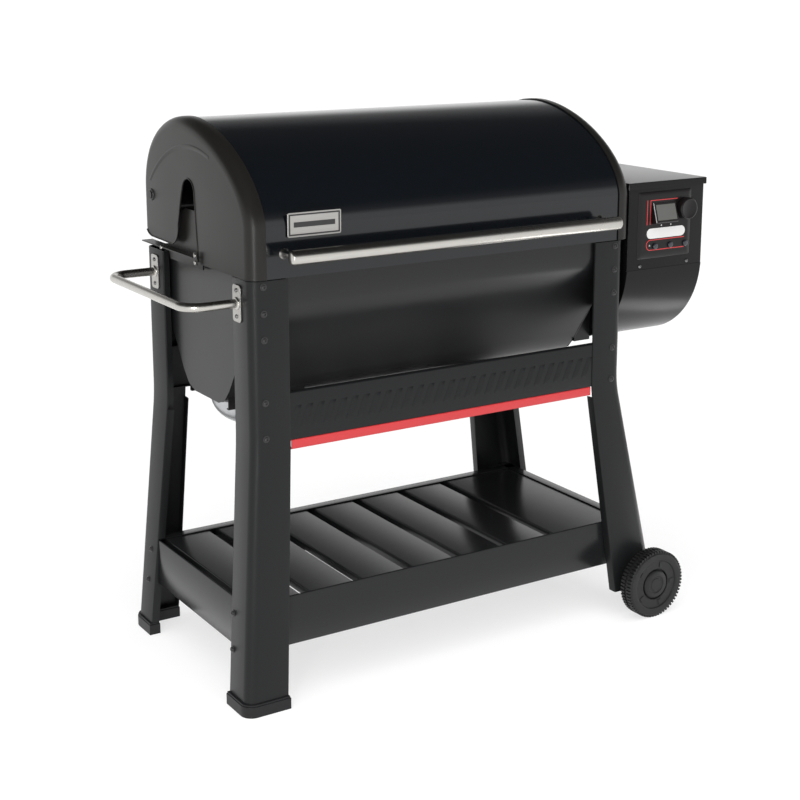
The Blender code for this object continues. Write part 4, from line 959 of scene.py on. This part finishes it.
def make_hopper_lid():
    low, high = node_box("hopper_lid")
    bm = bmesh.new()
    top = high.z
    skirt = low.z
    soft = 2 * MM
    x0, x1, y0, y1 = low.x, high.x, low.y, high.y
    rows = []
    for inset, z in ((0.0, skirt), (0.0, top - soft), (0.6 * MM, top - 0.6 * MM), (soft, top)):
        rows.append([Vector((x0 + inset, y1, z)), Vector((x0 + inset, y0 + inset + 1.5 * MM, z)),
                     Vector((x0 + inset + 1.5 * MM, y0 + inset, z)), Vector((x1 - inset - 1.5 * MM, y0 + inset, z)),
                     Vector((x1 - inset, y0 + inset + 1.5 * MM, z)), Vector((x1 - inset, y1, z))])
    grid = loft(bm, rows)
    # The top face takes the light grey painted reflection; the skirt and rounded edge stay black.
    bm.faces.new(grid[-1]).material_index = 1
    face_away(bm, Vector(((x0 + x1) / 2, (y0 + y1) / 2, skirt - 0.02)))
    finish_piece("hopper_lid_shell", bm, [HOPPER, HOPPER_TOP_REFLECTION], "hopper_door", "hopper_lid_grey", smooth=35, thickness=1.6 * MM,
                 replaces=["hopper_lid"])
    bm = bmesh.new()
    hinge_z = top - 4 * MM
    for x in (-0.07, 0.07):
        centre = Vector(((x0 + x1) / 2 + x, y1 + 3 * MM, hinge_z))
        lathe(bm, [(0.0, -0.018), (2.4 * MM, -0.018), (2.4 * MM, 0.018), (0.0, 0.018)], facing(centre, (1, 0, 0)), 20)
    finish_solid("hopper_lid_knuckles", bm, DARK_BOLT, "hopper_door", "hopper_lid_grey", smooth=40)


def pill(bm, x0, x1, z0, z1, y0, y1, material=0):
    outline_prism(bm, list(rounded(x0, x1, z0, z1, (z1 - z0) / 2 - 0.01 * MM, 8)), y0, y1,
                  lambda x, z, y: at(x, y, z), material)


def make_controls():
    low, high = node_box("control_bezel")
    back, face = high.y, low.y
    x0, x1, z0, z1 = low.x - MID, high.x - MID, low.z, high.z
    shrink = 11.5 * MM
    bm = bmesh.new()
    rows = []
    for inset, y, radius in ((0.0, back, 3.5 * MM), (1.0 * MM, back - 0.9 * MM, 3.5 * MM),
                             (shrink - 1.5 * MM, face + 0.25 * MM, 5 * MM), (shrink, face, 5 * MM)):
        rows.append([at(x, y, z) for x, z in rounded(x0 + inset, x1 - inset, z0 + inset, z1 - inset, radius, 5)])
    grid = loft(bm, rows, closed=True)
    bm.faces.new(grid[-1])
    bm.faces.new(list(reversed(grid[0])))
    bezel = finish_solid("bezel_shell", bm, PANEL, "grill", "control_plastic", smooth=35)
    tools = []
    for i in (1, 2, 3):
        button_low, button_high = node_box(f"button_{i}")
        middle = (button_low + button_high) / 2
        pocket = (button_high.z - button_low.z) / 2 + 0.4 * MM
        bm = bmesh.new()
        lathe(bm, [(0.0, -0.02), (pocket, -0.02), (pocket, 0.0), (0.0, 0.0)],
              facing(Vector((middle.x, button_high.y + 1.9 * MM, middle.z)), (0, 1, 0)), 32)
        tools.append(cutter(f"pocket_tool_{i}", bm))
    cut(bezel, tools, 35)
    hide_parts("control_bezel")

    line_back, line_front = face + 0.1 * MM, face - 0.35 * MM
    bm = bmesh.new()
    block(bm, at(0.5400, line_front, 0.9080), at(0.5418, line_back, 0.9640))
    block(bm, at(0.5492, line_front, 0.9080), at(0.5508, line_back, 0.9640))
    block(bm, at(0.5508, line_front, 0.9624), at(0.6300, line_back, 0.9640))
    for z in (0.8720, 0.8490):
        block(bm, at(0.5520, line_front, z), at(0.6540, line_back, z + 0.0018))
    tube_along(bm, [at(x, face - 0.1 * MM, z) for x, z in arc((0.5520, 0.8614), 11.6 * MM, 90, 270, 14)], 1.0 * MM, 8)
    finish_solid("control_red_lines", bm, RED, "grill", "control_plastic", smooth=40)

    bm = bmesh.new()
    pill(bm, 0.5410, 0.6555, 0.8760, 0.8995, face - 0.45 * MM, face + 0.1 * MM)
    for x in (0.5840, 0.6120):
        lathe(bm, [(0.0, 0.0), (1.8 * MM, 0.0), (1.6 * MM, 0.6 * MM), (0.0, 0.8 * MM)],
              facing(at(x, face, 0.9050), (0, -1, 0)), 16)
    finish_solid("control_label", bm, WHITE, "grill", "control_plastic", bevel=0.15 * MM)
    bm = bmesh.new()
    lathe(bm, [(0.0, 0.0), (2.2 * MM, 0.0), (2.0 * MM, 0.8 * MM), (0.0, 1.1 * MM)], facing(at(0.5500, face, 0.8605), (0, -1, 0)), 20)
    finish_solid("control_lamp", bm, LAMP_GREY_AND_EDGE_HIGHLIGHT, "grill", "control_plastic")
    make_display(face)
    make_knob()
    for i in (1, 2, 3):
        make_button(i)
    screws = [at(x, HOPPER_FRONT, z) for x, z in ((0.526, 0.815), (0.667, 0.815))]
    fasteners("hopper_screws", PAN_SCREW, screws, (0, -1, 0), BOLT, "grill", "hopper_black")


def make_display(face):
    low, high = node_box("display")
    x0, x1 = low.x, high.x
    back, front = high.y, low.y
    outline = [(back, low.z), (back, high.z), (back - 1.5 * MM, high.z), (front, low.z + 4 * MM), (front + 4 * MM, low.z + 1 * MM)]
    bm = bmesh.new()
    outline_prism(bm, outline, x0, x1, lambda y, z, x: Vector((x, y, z)))
    finish_solid("display_block", bm, PANEL, "grill", "screen", bevel=1.0 * MM, segments=3, replaces=["display"])
    top = Vector((0, back - 1.5 * MM, high.z))
    foot = Vector((0, front, low.z + 4 * MM))
    slope = foot - top
    out = Vector((0, slope.z, -slope.y)).normalized()
    bm = bmesh.new()
    corners = [(x0 + (x1 - x0) * fx, ft) for fx, ft in ((0.09, 0.10), (0.93, 0.10), (0.93, 0.90), (0.09, 0.90))]
    outline_prism(bm, corners, 0.05 * MM, 0.6 * MM, lambda x, t, h: Vector((x, 0, 0)) + top + slope * t + out * h)
    finish_solid("display_glass", bm, SCREEN, "grill", "screen", bevel=0.25 * MM)
    # A light grey strip down the display's left edge only: a painted highlight on that edge.
    bm = bmesh.new()
    edge = [Vector((x0 + 0.6 * MM, 0, 0)) + top + slope * t + out * 0.1 * MM for t in (0.0, 0.5, 1.0)]
    tube_along(bm, edge, 0.9 * MM, 8)
    finish_solid("display_edge_highlight", bm, LAMP_GREY_AND_EDGE_HIGHLIGHT, "grill", "screen")


def make_knob():
    low, high = node_box("knob")
    centre = (low + high) / 2
    radius = (high.z - low.z) / 2
    depth = high.y - low.y
    profile = [(0.0, 0.0), (10 * MM, 0.0), (10 * MM, 2 * MM), (radius - 1.2 * MM, 2 * MM), (radius, 4 * MM),
               (radius - 0.2 * MM, depth - 3.4 * MM), (radius - 0.8 * MM, depth - 1.4 * MM), (radius - 2.4 * MM, depth - 0.3 * MM),
               (radius - 3.6 * MM, depth), (radius - 4.6 * MM, depth - 0.8 * MM), (0.0, depth - 0.8 * MM)]
    bm = bmesh.new()
    lathe(bm, profile, facing(Vector((centre.x, high.y, centre.z)), (0, -1, 0)), 64)
    finish_solid("knob_shell", bm, PANEL, "knob", "control_plastic", smooth=40, replaces=["knob"])


def make_button(i):
    low, high = node_box(f"button_{i}")
    centre = (low + high) / 2
    radius, depth = (high.z - low.z) / 2, high.y - low.y
    profile = [(0.0, 0.0), (radius, 0.0), (radius, depth - 2.2 * MM), (radius - 0.7 * MM, depth - 0.9 * MM),
               (radius - 2.4 * MM, depth - 0.2 * MM), (0.0, depth)]
    bm = bmesh.new()
    lathe(bm, profile, facing(Vector((centre.x, high.y, centre.z)), (0, -1, 0)), 32)
    finish_solid(f"button_{i}_shell", bm, BUTTON, f"button_{i}", "control_plastic", smooth=50, replaces=[f"button_{i}"])


# ---------------------------------------------------------------- bolts


def make_bolts():
    front, rear = [], []
    for side in (-1, 1):
        for z in (0.873, 0.820, 0.768, 0.642, 0.569):
            front.append(at(side * 0.4366, -LEG_Y[-1], z))
            rear.append(at(side * 0.4366, LEG_Y[1], z))
    fasteners("front_leg_bolts", FLANGE_BOLT, front, (0, -1, 0), DARK_BOLT, "grill", "leg_black")
    fasteners("rear_leg_bolts", FLANGE_BOLT, rear, (0, 1, 0), DARK_BOLT, "grill", "leg_black")
    for label, side in (("left", -1), ("right", 1)):
        edge = side * 0.4745
        bm = bmesh.new()
        ys = (-0.0365, -0.0195)
        xs = sorted((edge, edge - side * 1.5 * MM))
        outline_prism(bm, list(rounded(ys[0], ys[1], 0.8835, 0.9105, 4 * MM)), xs[0], xs[1], lambda y, z, x: at(x, y, z))
        xs = sorted((edge, side * 0.4520))
        block(bm, at(xs[0], -0.0200, 0.8956), at(xs[1], -0.0145, 0.8979))
        finish_solid(f"{label}_ledge_ear", bm, CAP, "grill", "body_black", bevel=0.3 * MM)
        ledge = [at(edge, -0.028, 0.9045), at(edge, -0.028, 0.8895), at(edge, 0.140, 0.8968)]
        fasteners(f"{label}_ledge_screws", PAN_SCREW, ledge, (side, 0, 0), BRUSHED, "grill", "body_black")
    for label, depth, places in (("front", -1, ((-0.198, 0.197), (-0.202, 0.121))), ("rear", 1, ((0.218, 0.199), (0.229, 0.124)))):
        spots = [at(-leg_sizes(-1, depth, z)[0], y, z) for y, z in places]
        lean = Vector((-1.0, 0.0, SPLAY_X[-1])).normalized()
        fasteners(f"{label}_left_skirt_bolts", FLANGE_BOLT, spots, lean, DARK_BOLT, "grill", "leg_black")


make_camera()
make_light()
make_floor()
make_lid_skin()
for cap_side, cap_label in ((-1, "left"), (1, "right")):
    end_cap_shell(f"{cap_label}_cap_shell", cap_side, f"lid_{cap_label}_cap")
    cap_trim(cap_side, cap_label)
make_lid_handle()
make_badge()
make_cook_box()
make_bowl()
for leg_side, side_label in ((-1, "left"), (1, "right")):
    for leg_depth, depth_label in ((-1, "front"), (1, "rear")):
        make_leg(leg_side, leg_depth, f"{depth_label}_{side_label}")
for leg_depth, depth_label in ((-1, "front"), (1, "rear")):
    make_foot(leg_depth, f"{depth_label}_left")
    make_panel(leg_depth, depth_label)
make_rail()
for number in range(1, 8):
    make_slat(number)
make_skirts()
make_wheels()
make_side_handle()
make_hopper_body()
make_hopper_lid()
make_controls()
make_bolts()
